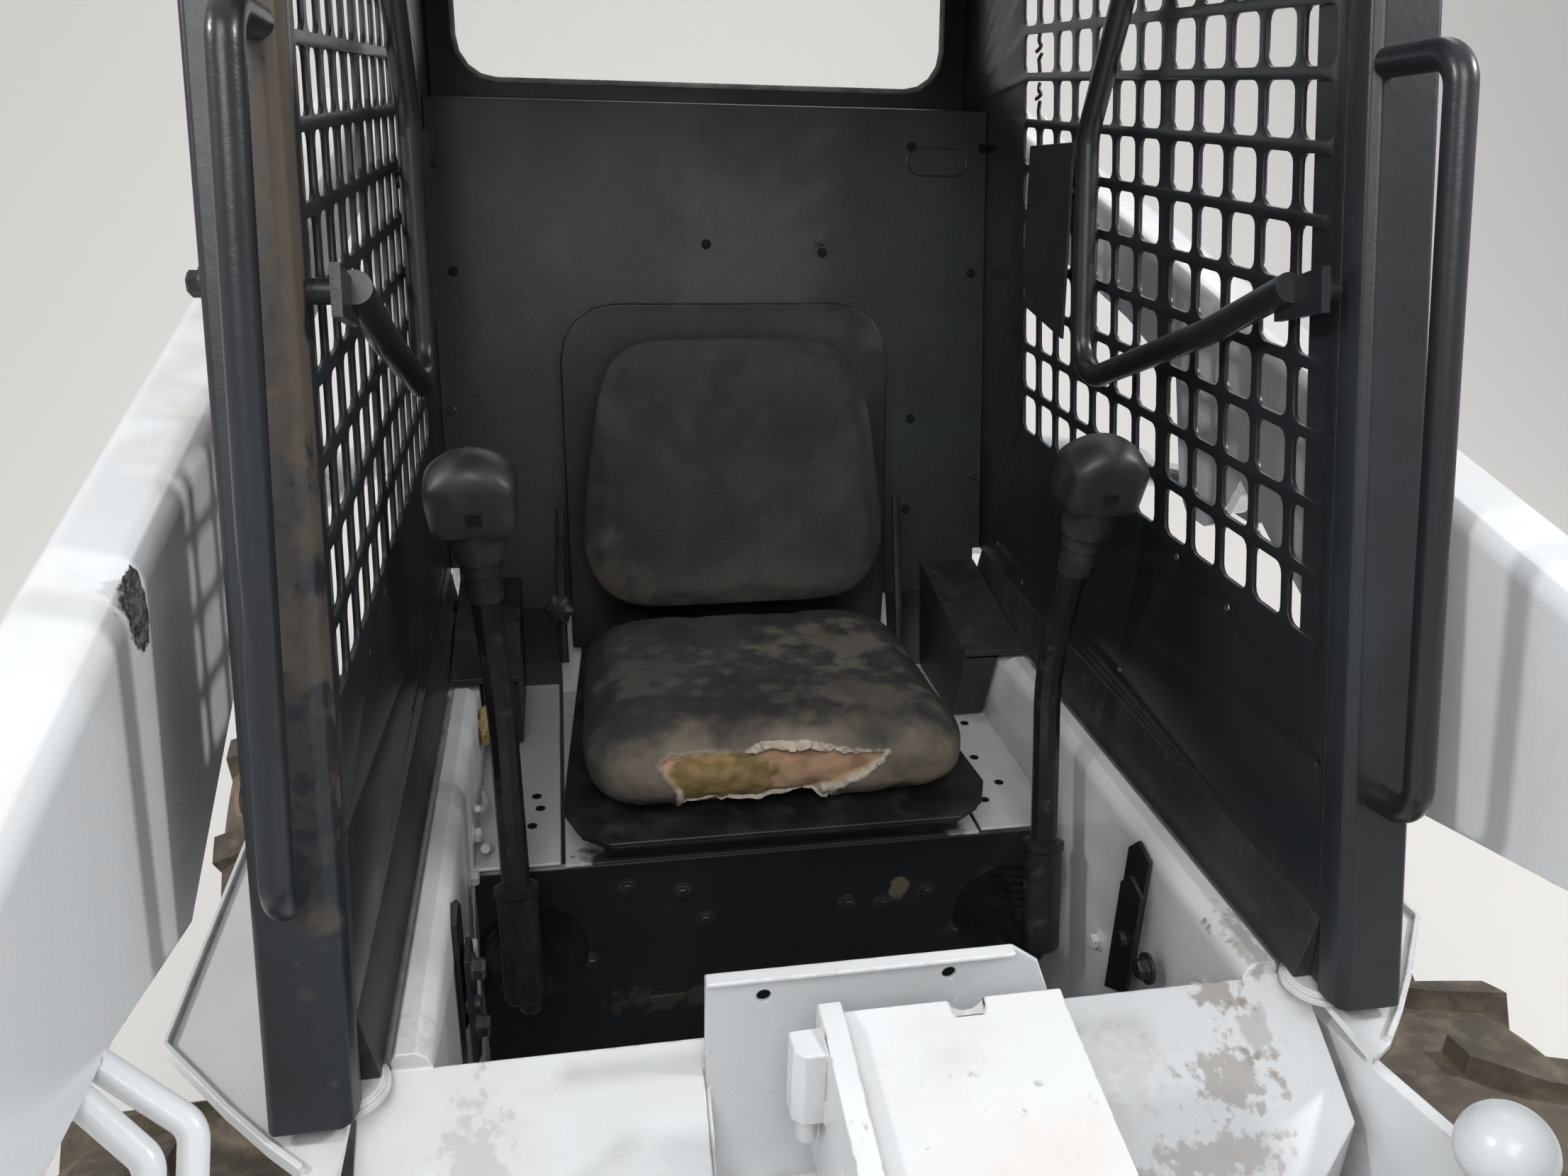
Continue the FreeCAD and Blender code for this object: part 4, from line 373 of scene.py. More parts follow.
# Node, paint, width of its broken edges
FRAME_PLATES = [
    ("main_frame", trodden_white, 0.0020), ("fenders", frame_white, 0.0015),
    ("tower_left", frame_white, 0.0025), ("tower_right", frame_white, 0.0025),
    ("front_guard", white_paint("guard_white", [
        ("spot", {"Centre": (0.06, -0.34, 0.80), "Size": (0.10, 0.10, 0.09), "Rag": 0.6,
                  "Scale": 9.0, "Soft": 0.7}, 0.35, (0.74, 0.58, 0.48), 0.5),
        ("patches", {"Scale": 70.0, "Low": 0.66, "High": 0.74, "Blur": 0.01}, 0.5,
         GREY_DIRT_AND_SHADE, 0.8)]), 0.0020),
    ("seat_deck", white_paint("deck_white", [
        # A near-black band under the seat pan's front edge: painted shade of the pan on the deck.
        ("spot", {"Centre": (0, 0.345, 0.670), "Size": (0.262, 0.085, 0.060), "Rag": 0.12,
                  "Scale": 30.0, "Soft": 0.12}, 0.96, (0.030, 0.028, 0.026), 0.5),
        ("patches", {"Scale": 60.0, "Low": 0.66, "High": 0.70, "Blur": 0.01}, 0.8, RUST, 0.8)],
        dust=0.5, shade_dirt_share=0.8), 0.0010),
    ("bay_walls", shaded_white, 0.0015),
    ("axle_housings", shaded_white, 0.0015), ("arm_stops", frame_white, 0.0)]
for node, paint, width in FRAME_PLATES:
    finished(node, paint, width)

# The foot panel between the frame's walls: black painted plate, scuffed by boots, held by
# hexagon bolts with washers that show along its upper part.
BLACK = (0.012, 0.0135, 0.016)
WORN_BLACK = (0.026, 0.032, 0.038)
DRY_DUST = (0.20, 0.165, 0.125)
SLATE_DUST = (0.060, 0.066, 0.070)
# A fastener's parts, as shares of its head's radius and height: width, depth, lift
WASHER_SIZE = (1.45, 0.4)
HEAD_LIFT = 0.6
CROWN_SIZE = (0.82, 0.22)
CROWN_LIFT = 1.1
ROUND_SIDES = 20
HEX_SIDES = 6


def fastener_tree(sides):
    """Geometry Nodes: a washer, a headed screw and a chamfer on every point's aim."""
    tree = bpy.data.node_groups.new(f"fastener_{sides}", "GeometryNodeTree")
    for label, kind in (("Places", "NodeSocketGeometry"), ("Radius", FLOAT),
                        ("Height", FLOAT), ("Finish", "NodeSocketMaterial")):
        tree.interface.new_socket(label, in_out="INPUT", socket_type=kind)
    tree.interface.new_socket("Fasteners", in_out="OUTPUT", socket_type="NodeSocketGeometry")
    given = tree.nodes.new("NodeGroupInput").outputs
    washer = put(tree, "GeometryNodeMeshCylinder", {
        "Vertices": ROUND_SIDES,
        "Radius": maths(tree, "MULTIPLY", given["Radius"], WASHER_SIZE[0]),
        "Depth": maths(tree, "MULTIPLY", given["Height"], WASHER_SIZE[1])}).outputs["Mesh"]
    head = put(tree, "GeometryNodeMeshCylinder", {
        "Vertices": sides, "Radius": given["Radius"], "Depth": given["Height"]})
    lift = put(tree, "ShaderNodeCombineXYZ", {
        2: maths(tree, "MULTIPLY", given["Height"], HEAD_LIFT)})
    raised = put(tree, "GeometryNodeTransform", {
        "Geometry": head.outputs["Mesh"], "Translation": lift.outputs[0]}).outputs[0]
    crown = put(tree, "GeometryNodeMeshCone", {
        "Vertices": sides, "Radius Bottom": given["Radius"],
        "Radius Top": maths(tree, "MULTIPLY", given["Radius"], CROWN_SIZE[0]),
        "Depth": maths(tree, "MULTIPLY", given["Height"], CROWN_SIZE[1])})
    top = put(tree, "ShaderNodeCombineXYZ", {
        2: maths(tree, "MULTIPLY", given["Height"], CROWN_LIFT)})
    capped = put(tree, "GeometryNodeTransform", {
        "Geometry": crown.outputs["Mesh"], "Translation": top.outputs[0]}).outputs[0]
    joined = put(tree, "GeometryNodeJoinGeometry")
    for part in (washer, raised, capped):
        tree.links.new(part, joined.inputs[0])
    aim = put(tree, "GeometryNodeInputNamedAttribute", {"Name": "aim"},
              data_type="FLOAT_VECTOR")
    turn = put(tree, "FunctionNodeAlignRotationToVector", {"Vector": aim.outputs[0]}, axis="Z")
    placed = put(tree, "GeometryNodeInstanceOnPoints", {
        "Points": given["Places"], "Instance": joined.outputs[0],
        "Rotation": turn.outputs[0]}).outputs[0]
    real = put(tree, "GeometryNodeRealizeInstances", {"Geometry": placed}).outputs[0]
    painted = put(tree, "GeometryNodeSetMaterial", {
        "Geometry": real, "Material": given["Finish"]}).outputs[0]
    result = tree.nodes.new("NodeGroupOutput")
    tree.links.new(painted, result.inputs[0])
    return tree


FASTENERS = {sides: fastener_tree(sides) for sides in (HEX_SIDES, ROUND_SIDES)}


def baked(item):
    """The mesh that an object's curve or modifiers make; the object itself goes."""
    seen = item.evaluated_get(bpy.context.evaluated_depsgraph_get())
    mesh = bpy.data.meshes.new_from_object(seen)
    bpy.data.objects.remove(item)
    return mesh


def fasten(name, places, material, body, radius, height, sides=HEX_SIDES):
    """Screws at each (point, aim) of places, as one piece on one body."""
    points = bpy.data.meshes.new(name + "_places")
    points.from_pydata([place for place, _ in places], [], [])
    aims = points.attributes.new("aim", "FLOAT_VECTOR", "POINT")
    aims.data.foreach_set("vector", [part for _, aim in places for part in aim])
    source = placed(name + "_source", points)
    maker = source.modifiers.new("maker", "NODES")
    maker.node_group = FASTENERS[sides]
    sockets = {item.name: item.identifier for item in maker.node_group.interface.items_tree
               if item.in_out == "INPUT"}
    maker[sockets["Radius"]] = radius
    maker[sockets["Height"]] = height
    maker[sockets["Finish"]] = material
    mesh = baked(source)
    mesh.name = name
    return show(name, mesh, material, body)


def black_paint(name, extra=(), rough=0.42, patchy=0.8, dust=0.5):
    return coat(name, BLACK, rough, [
        ("patches", {"Scale": 3.2, "Low": 0.42, "High": 0.68}, patchy, WORN_BLACK, rough + 0.1),
        ("patches", {"Scale": 16.0, "Low": 0.52, "High": 0.7}, 0.4, (0.024, 0.027, 0.032),
         rough - 0.1),
        ("dust_on_top", {"Scale": 22.0, "Low": 0.40, "High": 0.80}, dust, (0.13, 0.11, 0.085),
         0.85),
        ("corner_shade_and_dirt", {"Reach": 0.02, "Scale": 30.0}, 0.35, (0.09, 0.075, 0.055), 0.85),
        ("worn_edges", {"Width": 0.003, "Scale": 60.0}, 0.45, (0.085, 0.088, 0.090), 0.45),
        *extra], [("grain", {"Scale": 520.0}, 0.0001), ("grain", {"Scale": 90.0}, 0.00035)],
        Coat_Weight=0.15, Coat_Roughness=0.25)


PANEL_FACE_Y = 0.345
PANEL_BOLTS = [(-0.123, 0.612), (-0.093, 0.566), (0.096, 0.570), (0.144, 0.565),
               (0.203, 0.578), (0.247, 0.508), (-0.241, 0.514), (-0.193, 0.626)]
FORWARD = (0, -1, 0)
panel_black = black_paint("panel_black", [
    ("spot", {"Centre": (0.165, PANEL_FACE_Y, 0.585), "Size": (0.016, 0.02, 0.020),
              "Rag": 0.4, "Scale": 60.0}, 0.6, (0.22, 0.19, 0.13), 0.8),
    ("spot", {"Centre": (-0.15, PANEL_FACE_Y, 0.440), "Size": (0.09, 0.03, 0.020),
              "Rag": 0.9, "Scale": 55.0, "Soft": 0.6}, 0.4, (0.12, 0.10, 0.07), 0.85)],
    rough=0.34, patchy=0.4)
finished("foot_panel", panel_black, width=0.0015)
bolt_black = coat("bolt_black", (0.02, 0.021, 0.023), 0.4, [
    ("corner_shade_and_dirt", {"Reach": 0.01, "Scale": 60.0}, 0.5, DRY_DUST, 0.85),
    ("worn_edges", {"Width": 0.002, "Scale": 90.0}, 0.8, (0.20, 0.17, 0.14), 0.5)])
fasten("panel_bolts", [((x, PANEL_FACE_Y - 0.0002, z), FORWARD) for x, z in PANEL_BOLTS],
       bolt_black, "chassis", radius=0.0085, height=0.007)

# The pedal links beside the frame's walls: black steel plates on bolts through the walls,
# and the painted bolts in the walls round them, rusty at their edges.
link_black = black_paint("link_black", rough=0.38)
finished("pedal_links", link_black, width=0.0010)
WALL_INNER_X = 0.379
bolt_white = coat("bolt_white", (0.74, 0.74, 0.73), 0.4, [
    # Painted shade, with some dirt, round the bolt heads.
    ("corner_shade_and_dirt", {"Reach": 0.012, "Scale": 60.0}, 0.8, GREY_DIRT_AND_SHADE, 0.8),
    ("worn_edges", {"Width": 0.002, "Scale": 70.0}, 0.7, RUST, 0.7)])
# Centre, and the way the bolt's head looks along X
WALL_BOLTS = [
    (-WALL_INNER_X, 0.30, 0.690, 1), (-WALL_INNER_X, 0.375, 0.700, 1),
    (-WALL_INNER_X, 0.22, 0.655, 1), (-WALL_INNER_X, -0.03, 0.700, 1),
    (WALL_INNER_X, 0.02, 0.660, -1), (WALL_INNER_X, 0.02, 0.560, -1),
    (WALL_INNER_X, 0.19, 0.600, -1), (WALL_INNER_X, -0.03, 0.715, -1)]
LINK_FACE_X = 0.3625
LINK_BOLTS = [(LINK_FACE_X, 0.048, 0.678, -1), (-LINK_FACE_X, 0.109, 0.640, 1),
              (-LINK_FACE_X, 0.109, 0.715, 1)]
fasten("wall_bolts", [((x, y, z), (way, 0, 0)) for x, y, z, way in WALL_BOLTS],
       bolt_white, "chassis", radius=0.0095, height=0.008)
fasten("link_bolts", [((x, y, z), (way, 0, 0)) for x, y, z, way in LINK_BOLTS],
       bolt_black, "chassis", radius=0.012, height=0.010)

# Small fittings on the right hand wall by the seat: a white pivot boss with its nut, a bent
# lever and a wire clip, and a crumb of yellow seat foam caught above them.
PIVOT = (-WALL_INNER_X - 0.0003, 0.425, 0.640)
PIVOT_NUT = (-0.356, 0.425, 0.640)
BENT_LEVER = [(-0.366, 0.425, 0.640), (-0.362, 0.395, 0.655), (-0.360, 0.372, 0.690),
              (-0.364, 0.352, 0.694)]
WIRE_CLIP = [(-0.372, 0.470, 0.700), (-0.366, 0.440, 0.705), (-0.366, 0.405, 0.715),
             (-0.372, 0.380, 0.735)]
ROUGH_ANGLE = 80
CRUMB_HALF = (0.012, 0.022, 0.026)
CRUMB_PLACE = (-0.3700, 0.560, 0.750)


def lathed(rings, base, axis, sides=28):
    """A closed turned part: rings of (height, radius) along an axis from its base."""
    shape = bmesh.new()
    turn = Vector(axis).to_track_quat("Z", "Y").to_matrix()
    loops = []
    for height, radius in rings:
        loops.append([shape.verts.new(Vector(base) + turn @ Vector((
            radius * math.cos(2 * math.pi * i / sides),
            radius * math.sin(2 * math.pi * i / sides), height))) for i in range(sides)])
    for low, high in zip(loops, loops[1:]):
        for i in range(sides):
            shape.faces.new((low[i], low[(i + 1) % sides], high[(i + 1) % sides], high[i]))
    shape.faces.new(list(reversed(loops[0])))
    shape.faces.new(loops[-1])
    return shape


def tube(points, radius, order=3, closed=False, rounding=3):
    """A round bar along a smooth line that starts and ends at the end points."""
    curve = bpy.data.curves.new("bar", "CURVE")
    curve.dimensions = "3D"
    curve.bevel_depth = radius
    curve.bevel_resolution = rounding
    curve.use_fill_caps = True
    line = curve.splines.new("NURBS")
    line.points.add(len(points) - 1)
    for knot, place in zip(line.points, points):
        knot.co = (*place, 1)
    line.order_u = order
    line.use_endpoint_u = True
    line.use_cyclic_u = closed
    line.resolution_u = 8
    shape = bmesh.new()
    shape.from_mesh(baked(placed("bar", curve)))
    bmesh.ops.remove_doubles(shape, verts=shape.verts, dist=WELD_REACH)
    return shape


def joined(parts, smooth_angle=35):
    """One mesh of several shapes, faces outward, smooth but for its sharp edges."""
    whole = bpy.data.meshes.new("joined")
    total = bmesh.new()
    for part in parts:
        bmesh.ops.recalc_face_normals(part, faces=part.faces)
        part.to_mesh(whole)
        part.free()
        total.from_mesh(whole)
    total.to_mesh(whole)
    total.free()
    whole.shade_smooth()
    whole.set_sharp_from_angle(angle=math.radians(smooth_angle))
    return whole


def lump(half, centre, waves):
    """A ragged ball: its half sizes, its place, and the share and rate of each wave."""
    shape = bmesh.new()
    bmesh.ops.create_icosphere(shape, subdivisions=4, radius=1)
    for vert in shape.verts:
        ragged = 1 + sum(share * noise.noise(vert.co * rate) for share, rate in waves)
        vert.co = vert.co * Vector(half) * ragged + Vector(centre)
    return shape


fitting = [
    lathed([(0, 0.030), (0.006, 0.031), (0.010, 0.024), (0.022, 0.023), (0.024, 0.019)],
           PIVOT, (1, 0, 0)),
    lathed([(0, 0.013), (0.020, 0.013), (0.024, 0.010)], PIVOT_NUT, (1, 0, 0), HEX_SIDES),
    tube(BENT_LEVER, 0.006, rounding=2),
    tube(WIRE_CLIP, 0.0045, rounding=2)]
show("wall_fittings", joined(fitting), bolt_white, "chassis")
crumb = lump(CRUMB_HALF, CRUMB_PLACE, [(0.30, 2.5), (0.10, 9.0)])
foam_crumb = coat("foam_crumb", (0.46, 0.36, 0.16), 0.95, [
    ("patches", {"Scale": 90.0, "Low": 0.45, "High": 0.6}, 0.6, (0.27, 0.19, 0.08), 0.95)],
    [("grain", {"Scale": 500.0}, 0.0015)])
show("foam_crumb", joined([crumb], ROUGH_ANGLE), foam_crumb, "chassis")

# The cab's mounts: turned pads bolted on the frame under the posts, painted white over
# their rubber, which is worn through in places.
mount_rubber = coat("mount_rubber", (0.72, 0.72, 0.71), 0.5, [
    # Painted shade, with some dirt, where the pads meet the frame.
    ("corner_shade_and_dirt", {"Reach": 0.02, "Scale": 40.0}, 0.7, GREY_DIRT_AND_SHADE, 0.85),
    ("patches", {"Scale": 22.0, "Low": 0.5, "High": 0.66}, 0.5, (0.16, 0.15, 0.14), 0.7)])
finished("cab_mounts", mount_rubber, width=0.0015)

# The rubber bellows round the drive levers' feet: glossy black rubber, ribbed, clamped
# to the foot panel, with grey dust in the folds.
boot_rubber = coat("boot_rubber", (0.010, 0.010, 0.011), 0.17, [
    ("corner_shade_and_dirt", {"Reach": 0.010, "Scale": 40.0}, 0.35, (0.07, 0.062, 0.055), 0.7),
    ("patches", {"Scale": 11.0, "Low": 0.5, "High": 0.7}, 0.4, (0.035, 0.035, 0.037), 0.5)],
    [("grain", {"Scale": 160.0}, 0.0003)])
BOOT_X = 0.314
BOOT_Z = 0.537
BOOT_RADIUS = 0.064
BOOT_DEPTH = 0.047
BOOT_RIBS = 6
BOOT_SIDES = 48
CLAMP_LIP = 0.006
CLAMP_DEPTH = 0.004
RIB_SHRINK = 0.0068
# Share of a rib's depth, and how far it stands out there
RIB_PROFILE = [(0.12, -0.0060), (0.30, -0.001), (0.48, 0.0034), (0.66, 0.0034),
               (0.84, -0.001), (0.97, -0.0060)]
NECK_RINGS = [(BOOT_DEPTH + 0.002, 0.022), (BOOT_DEPTH + 0.003, 0.015)]


def boot_rings():
    """A ribbed bellows from its clamped foot to its neck: height, radius."""
    rings = [(0.0, BOOT_RADIUS + CLAMP_LIP), (CLAMP_DEPTH - 0.001, BOOT_RADIUS + CLAMP_LIP),
             (CLAMP_DEPTH, BOOT_RADIUS)]
    rib_depth = (BOOT_DEPTH - CLAMP_DEPTH) / BOOT_RIBS
    for rib in range(BOOT_RIBS):
        base = CLAMP_DEPTH + rib * rib_depth
        radius = BOOT_RADIUS - RIB_SHRINK * rib
        rings += [(base + share * rib_depth, radius + swell) for share, swell in RIB_PROFILE]
    return rings + NECK_RINGS


boots = [lathed(boot_rings(), (side * BOOT_X, PANEL_FACE_Y, BOOT_Z), FORWARD, BOOT_SIDES)
         for side in (1, -1)]
ribbed_boots = show("ribbed_boots", joined(boots, 50), boot_rubber, "chassis")
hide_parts("lever_boots")

# The seat deck's open screw holes in the white plate beside the seat: thin near-black discs,
# painted shade standing for the dark inside each hole.
# Near black: painted shade of holes and recesses.
hole_shade_black = coat("hole_shade_black", (0.004, 0.004, 0.004), 0.9)
DECK_TOP_Z = 0.6703
DECK_HOLES = [(-0.300, 0.47), (-0.305, 0.50), (-0.310, 0.43), (0.300, 0.41), (0.335, 0.45),
              (0.340, 0.62), (0.322, 0.52)]
fasten("deck_holes", [((x, y, DECK_TOP_Z), (0, 0, 1)) for x, y in DECK_HOLES],
       hole_shade_black, "cab", radius=0.0045, height=0.0008, sides=ROUND_SIDES)

# The drive levers: a steel tube in a socket on the lever shaft, bent back to clear the
# knees, with a moulded plastic grip, domed on top, on a slotted collar.
LEVER_BAR = 0.0165
GRIP_HALF = (0.046, 0.034, 0.043)
GRIP_RISE = 0.076
GRIP_BASE = -0.037
GRIP_UP = Vector((0.037, -0.203, 0.978)).normalized()
LEVER_FOOT = (0.323, 0.254, 0.667)
LEVER_NECK = (0.338, 0.293, 1.104)
LEVER_LINE = [(0.314, 0.300, 0.537), (0.314, 0.233, 0.537), (0.316, 0.235, 0.590),
              LEVER_FOOT, (0.327, 0.294, 0.807), (0.330, 0.325, 0.900),
              (0.334, 0.318, 0.985), LEVER_NECK, (0.3400, 0.283, 1.150)]
# Height above the foot or the neck, and radius
SOCKET_RINGS = [(-0.105, 0.019), (-0.100, 0.0235), (0.024, 0.0235), (0.027, 0.026),
                (0.035, 0.026), (0.038, 0.020)]
COLLAR_RINGS = [(-0.056, 0.0170), (-0.054, 0.0192), (-0.020, 0.0196), (-0.018, 0.0225),
                (-0.002, 0.0232), (0.001, 0.0275), (0.026, 0.0295), (0.040, 0.030)]
RECESS_SIZE = (0.015, 0.004, 0.014)
RECESS_PLACE = (0.002, -0.0350, -0.014)
RECESS_RIM = 0.0022
RECESS_DEPTH = 0.0014


def pillow(half, plan_power, side_power, cuts=20):
    """A closed box rounded like a stuffed pad: superellipse in plan and in section."""
    shape = bmesh.new()
    bmesh.ops.create_cube(shape, size=2)
    bmesh.ops.subdivide_edges(shape, edges=shape.edges, cuts=cuts, use_grid_fill=True)
    for vert in shape.verts:
        x, y, z = vert.co
        plan = (abs(x) ** plan_power + abs(y) ** plan_power) ** (side_power / plan_power)
        pull = (plan + abs(z) ** side_power) ** (1 / side_power)
        vert.co = Vector((x * half[0], y * half[1], z * half[2])) / pull
    return shape


lever_steel = coat("lever_steel", (0.012, 0.012, 0.013), 0.36, [
    ("patches", {"Scale": 9.0, "Low": 0.5, "High": 0.68}, 0.6, (0.04, 0.040, 0.042), 0.5),
    ("patches", {"Scale": 45.0, "Low": 0.60, "High": 0.66}, 0.35, (0.10, 0.085, 0.07), 0.7)],
    [("grain", {"Scale": 240.0}, 0.0002)])
grip_plastic = coat("grip_plastic", (0.026, 0.027, 0.029), 0.38, [
    ("dust_on_top", {"Scale": 22.0, "Low": 0.40, "High": 0.68}, 0.32, (0.16, 0.145, 0.12), 0.8),
    ("patches", {"Scale": 30.0, "Low": 0.50, "High": 0.62}, 0.30, (0.10, 0.085, 0.068), 0.7),
    ("worn_edges", {"Width": 0.003, "Scale": 60.0}, 0.5, (0.13, 0.11, 0.09), 0.5)],
    [("grain", {"Scale": 700.0}, 0.00012)])
for name, side in (("left", 1), ("right", -1)):
    way = Vector((side, 1, 1))
    line = [Vector(place) * way for place in LEVER_LINE]
    up = GRIP_UP * way
    foot = Vector(LEVER_FOOT) * way
    rise = (line[LEVER_LINE.index(LEVER_FOOT) + 1] - foot).normalized()
    bars = [tube(line, LEVER_BAR), lathed(SOCKET_RINGS, foot, rise)]
    steel = show(f"lever_bar_{name}", joined(bars), lever_steel, "chassis")
    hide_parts(f"drive_lever_{name}")
    neck = Vector(LEVER_NECK) * way
    collar = lathed(COLLAR_RINGS, neck, up)
    grip = pillow(GRIP_HALF, plan_power=6.0, side_power=7.0)
    centre = neck + up * GRIP_RISE
    for vert in grip.verts:
        x, y, z = vert.co
        dome = (x / GRIP_HALF[0]) ** 2 + 0.6 * (y / GRIP_HALF[1]) ** 2
        if z > 0:
            vert.co.z = z * (1.04 - 0.50 * dome)
        else:
            vert.co.z = max(z, GRIP_BASE)
            vert.co.x *= 1 + 0.06 * z / GRIP_HALF[2]
    across = Vector((1, 0, 0)) - up * up.x
    across.normalize()
    back = up.cross(across)
    place = Matrix.Translation(centre) @ Matrix((across, back, up)).transposed().to_4x4()
    bmesh.ops.transform(grip, matrix=place, verts=grip.verts)
    show(f"lever_grip_{name}", joined([collar, grip]), grip_plastic, "chassis")
    lip = bmesh.new()
    bmesh.ops.create_cube(lip, size=1)
    bmesh.ops.scale(lip, vec=RECESS_SIZE, verts=lip.verts)
    front = [face for face in lip.faces if face.normal.y < -0.5]
    bmesh.ops.inset_region(lip, faces=front, thickness=RECESS_RIM)
    bmesh.ops.translate(lip, vec=(0, RECESS_DEPTH, 0), verts=list({
        vert for face in front for vert in face.verts}))
    bmesh.ops.transform(lip, matrix=place @ Matrix.Translation(RECESS_PLACE), verts=lip.verts)
    # The slot in the collar's front: near black, painted shade in the recess.
    show(f"lever_recess_{name}", joined([lip]), hole_shade_black, "chassis")

# The cab's posts: folded steel channel, sprayed satin black over older coats. The right
# one keeps a strip of brown dust and rough old paint along its inner side.
post_black = black_paint("post_black", rough=0.36, patchy=0.9, dust=0.3)
dusty_post = black_paint("dusty_post", [
    ("spot", {"Centre": (-0.438, 0.05, 1.45), "Size": (0.030, 0.22, 0.42), "Rag": 1.1,
              "Scale": 16.0, "Soft": 0.5}, 0.75, (0.105, 0.078, 0.058), 0.85),
    ("spot", {"Centre": (-0.450, 0.02, 1.20), "Size": (0.020, 0.25, 0.30), "Rag": 1.2,
              "Scale": 50.0, "Soft": 0.6}, 0.5, (0.06, 0.05, 0.042), 0.8)], rough=0.36,
    patchy=0.7, dust=0.3)
finished("cab_post_left", post_black, width=0.0022)
finished("cab_post_right", dusty_post, width=0.0022)
fasten("post_bolt", [((-0.4972, 0.040, 1.420), (-1, 0, 0))], bolt_black, "cab",
       radius=0.010, height=0.009)

# The grab handles outside the posts and the guard bars inside the screens: bent steel
# tube with flattened ends, black, polished by hands.
handle_black = black_paint("handle_black", rough=0.30, patchy=0.5, dust=0.25)
for node in ("grab_handle_left", "grab_handle_right", "guard_bar_left", "guard_bar_right"):
    finished(node, handle_black, width=0.0)
shield_black = black_paint("shield_black", [
    ("corner_shade_and_dirt", {"Reach": 0.03, "Scale": 30.0}, 0.3, SLATE_DUST, 0.6)], rough=0.40)
finished("bar_shields", shield_black, width=0.0008)

# The side screens: pressed sheet with rounded square holes. Two webs are torn on the left
# hand one, and screws have left small holes along its lower edge.
MESH_PITCH = 0.0629
MESH_RISE = 0.0613
MESH_HALF = 0.025
MESH_FRONT = 0.150
MESH_LEVEL = 1.620
MESH_GAP = 0.0145
MESH_BORDER = 0.010
MESH_ROWS = range(-8, 5)
MESH_COLUMNS = range(12)
GAP_COLUMN = 4
LEAN = math.tan(math.radians(16))
BACK_SLOPE = 0.2235
BACK_FOOT_Y = 0.857
BACK_SKIN = 0.005
CORNER = 0.010
SCREEN_X = 0.4325
SCREEN_HALF = 0.0025
SHEET_ROUND = 0.0008
CAB_FOOT_Z = 0.794
SILL_TOP_Z = 0.862
SHELF_Z = 1.535
SHELF_REAR_Y = 1.150
REAR_LEAN = 0.060
POST_FOOT_Y = -0.129
SCREEN_TOP_Z = 1.930
SCREW_RADIUS = 0.0045
SCREW_HOLES = [(0.674, 0.880), (0.788, 0.900), (0.245, 1.087), (0.336, 0.900),
               (0.130, 1.075), (-0.060, 1.000), (0.560, 0.890)]
# Column and row of a hole that runs on, through a torn web, into the next one
TORN = {(10, 0): (11, 0), (10, -1): (11, -1)}


def rear_edge(level):
    """The back panel's line, then the shelf's rear wall above it."""
    if level < SHELF_Z:
        return BACK_FOOT_Y + (level - CAB_FOOT_Z) * BACK_SLOPE
    return SHELF_REAR_Y + (level - SHELF_Z) / (SCREEN_TOP_Z - SHELF_Z) * REAR_LEAN


def front_edge(level):
    return POST_FOOT_Y + (level - CAB_FOOT_Z) * LEAN


def hole_centres():
    """Row, column, Y and Z of each hole that fits between post, back, sill and roof."""
    for row in MESH_ROWS:
        level = MESH_LEVEL + MESH_RISE * row
        shift = (level - MESH_LEVEL) * LEAN
        for column in MESH_COLUMNS:
            gap = MESH_GAP if column > GAP_COLUMN else 0
            place = MESH_FRONT + gap + column * MESH_PITCH + shift
            room = MESH_BORDER + MESH_HALF
            rear = min(rear_edge(level - MESH_HALF), rear_edge(level + MESH_HALF)) - room
            if front_edge(level) + room < place < rear:
                yield row, column, place, level


def rounded_hole(y, z, wide=MESH_HALF, reach=None):
    """A leaning square with round corners; reach carries its far side on to there."""
    far = reach if reach else y + wide
    corners = ((y - wide, -1, -1), (far, 1, -1), (far, 1, 1), (y - wide, -1, 1))
    points = []
    for index, (edge, across, up) in enumerate(corners):
        for step in range(4):
            turn = math.pi / 2 * (index + 2 + step / 3)
            spot = (edge - across * CORNER + CORNER * math.cos(turn),
                    up * (MESH_HALF - CORNER) + CORNER * math.sin(turn))
            points.append((spot[0] + spot[1] * LEAN, z + spot[1]))
    return points


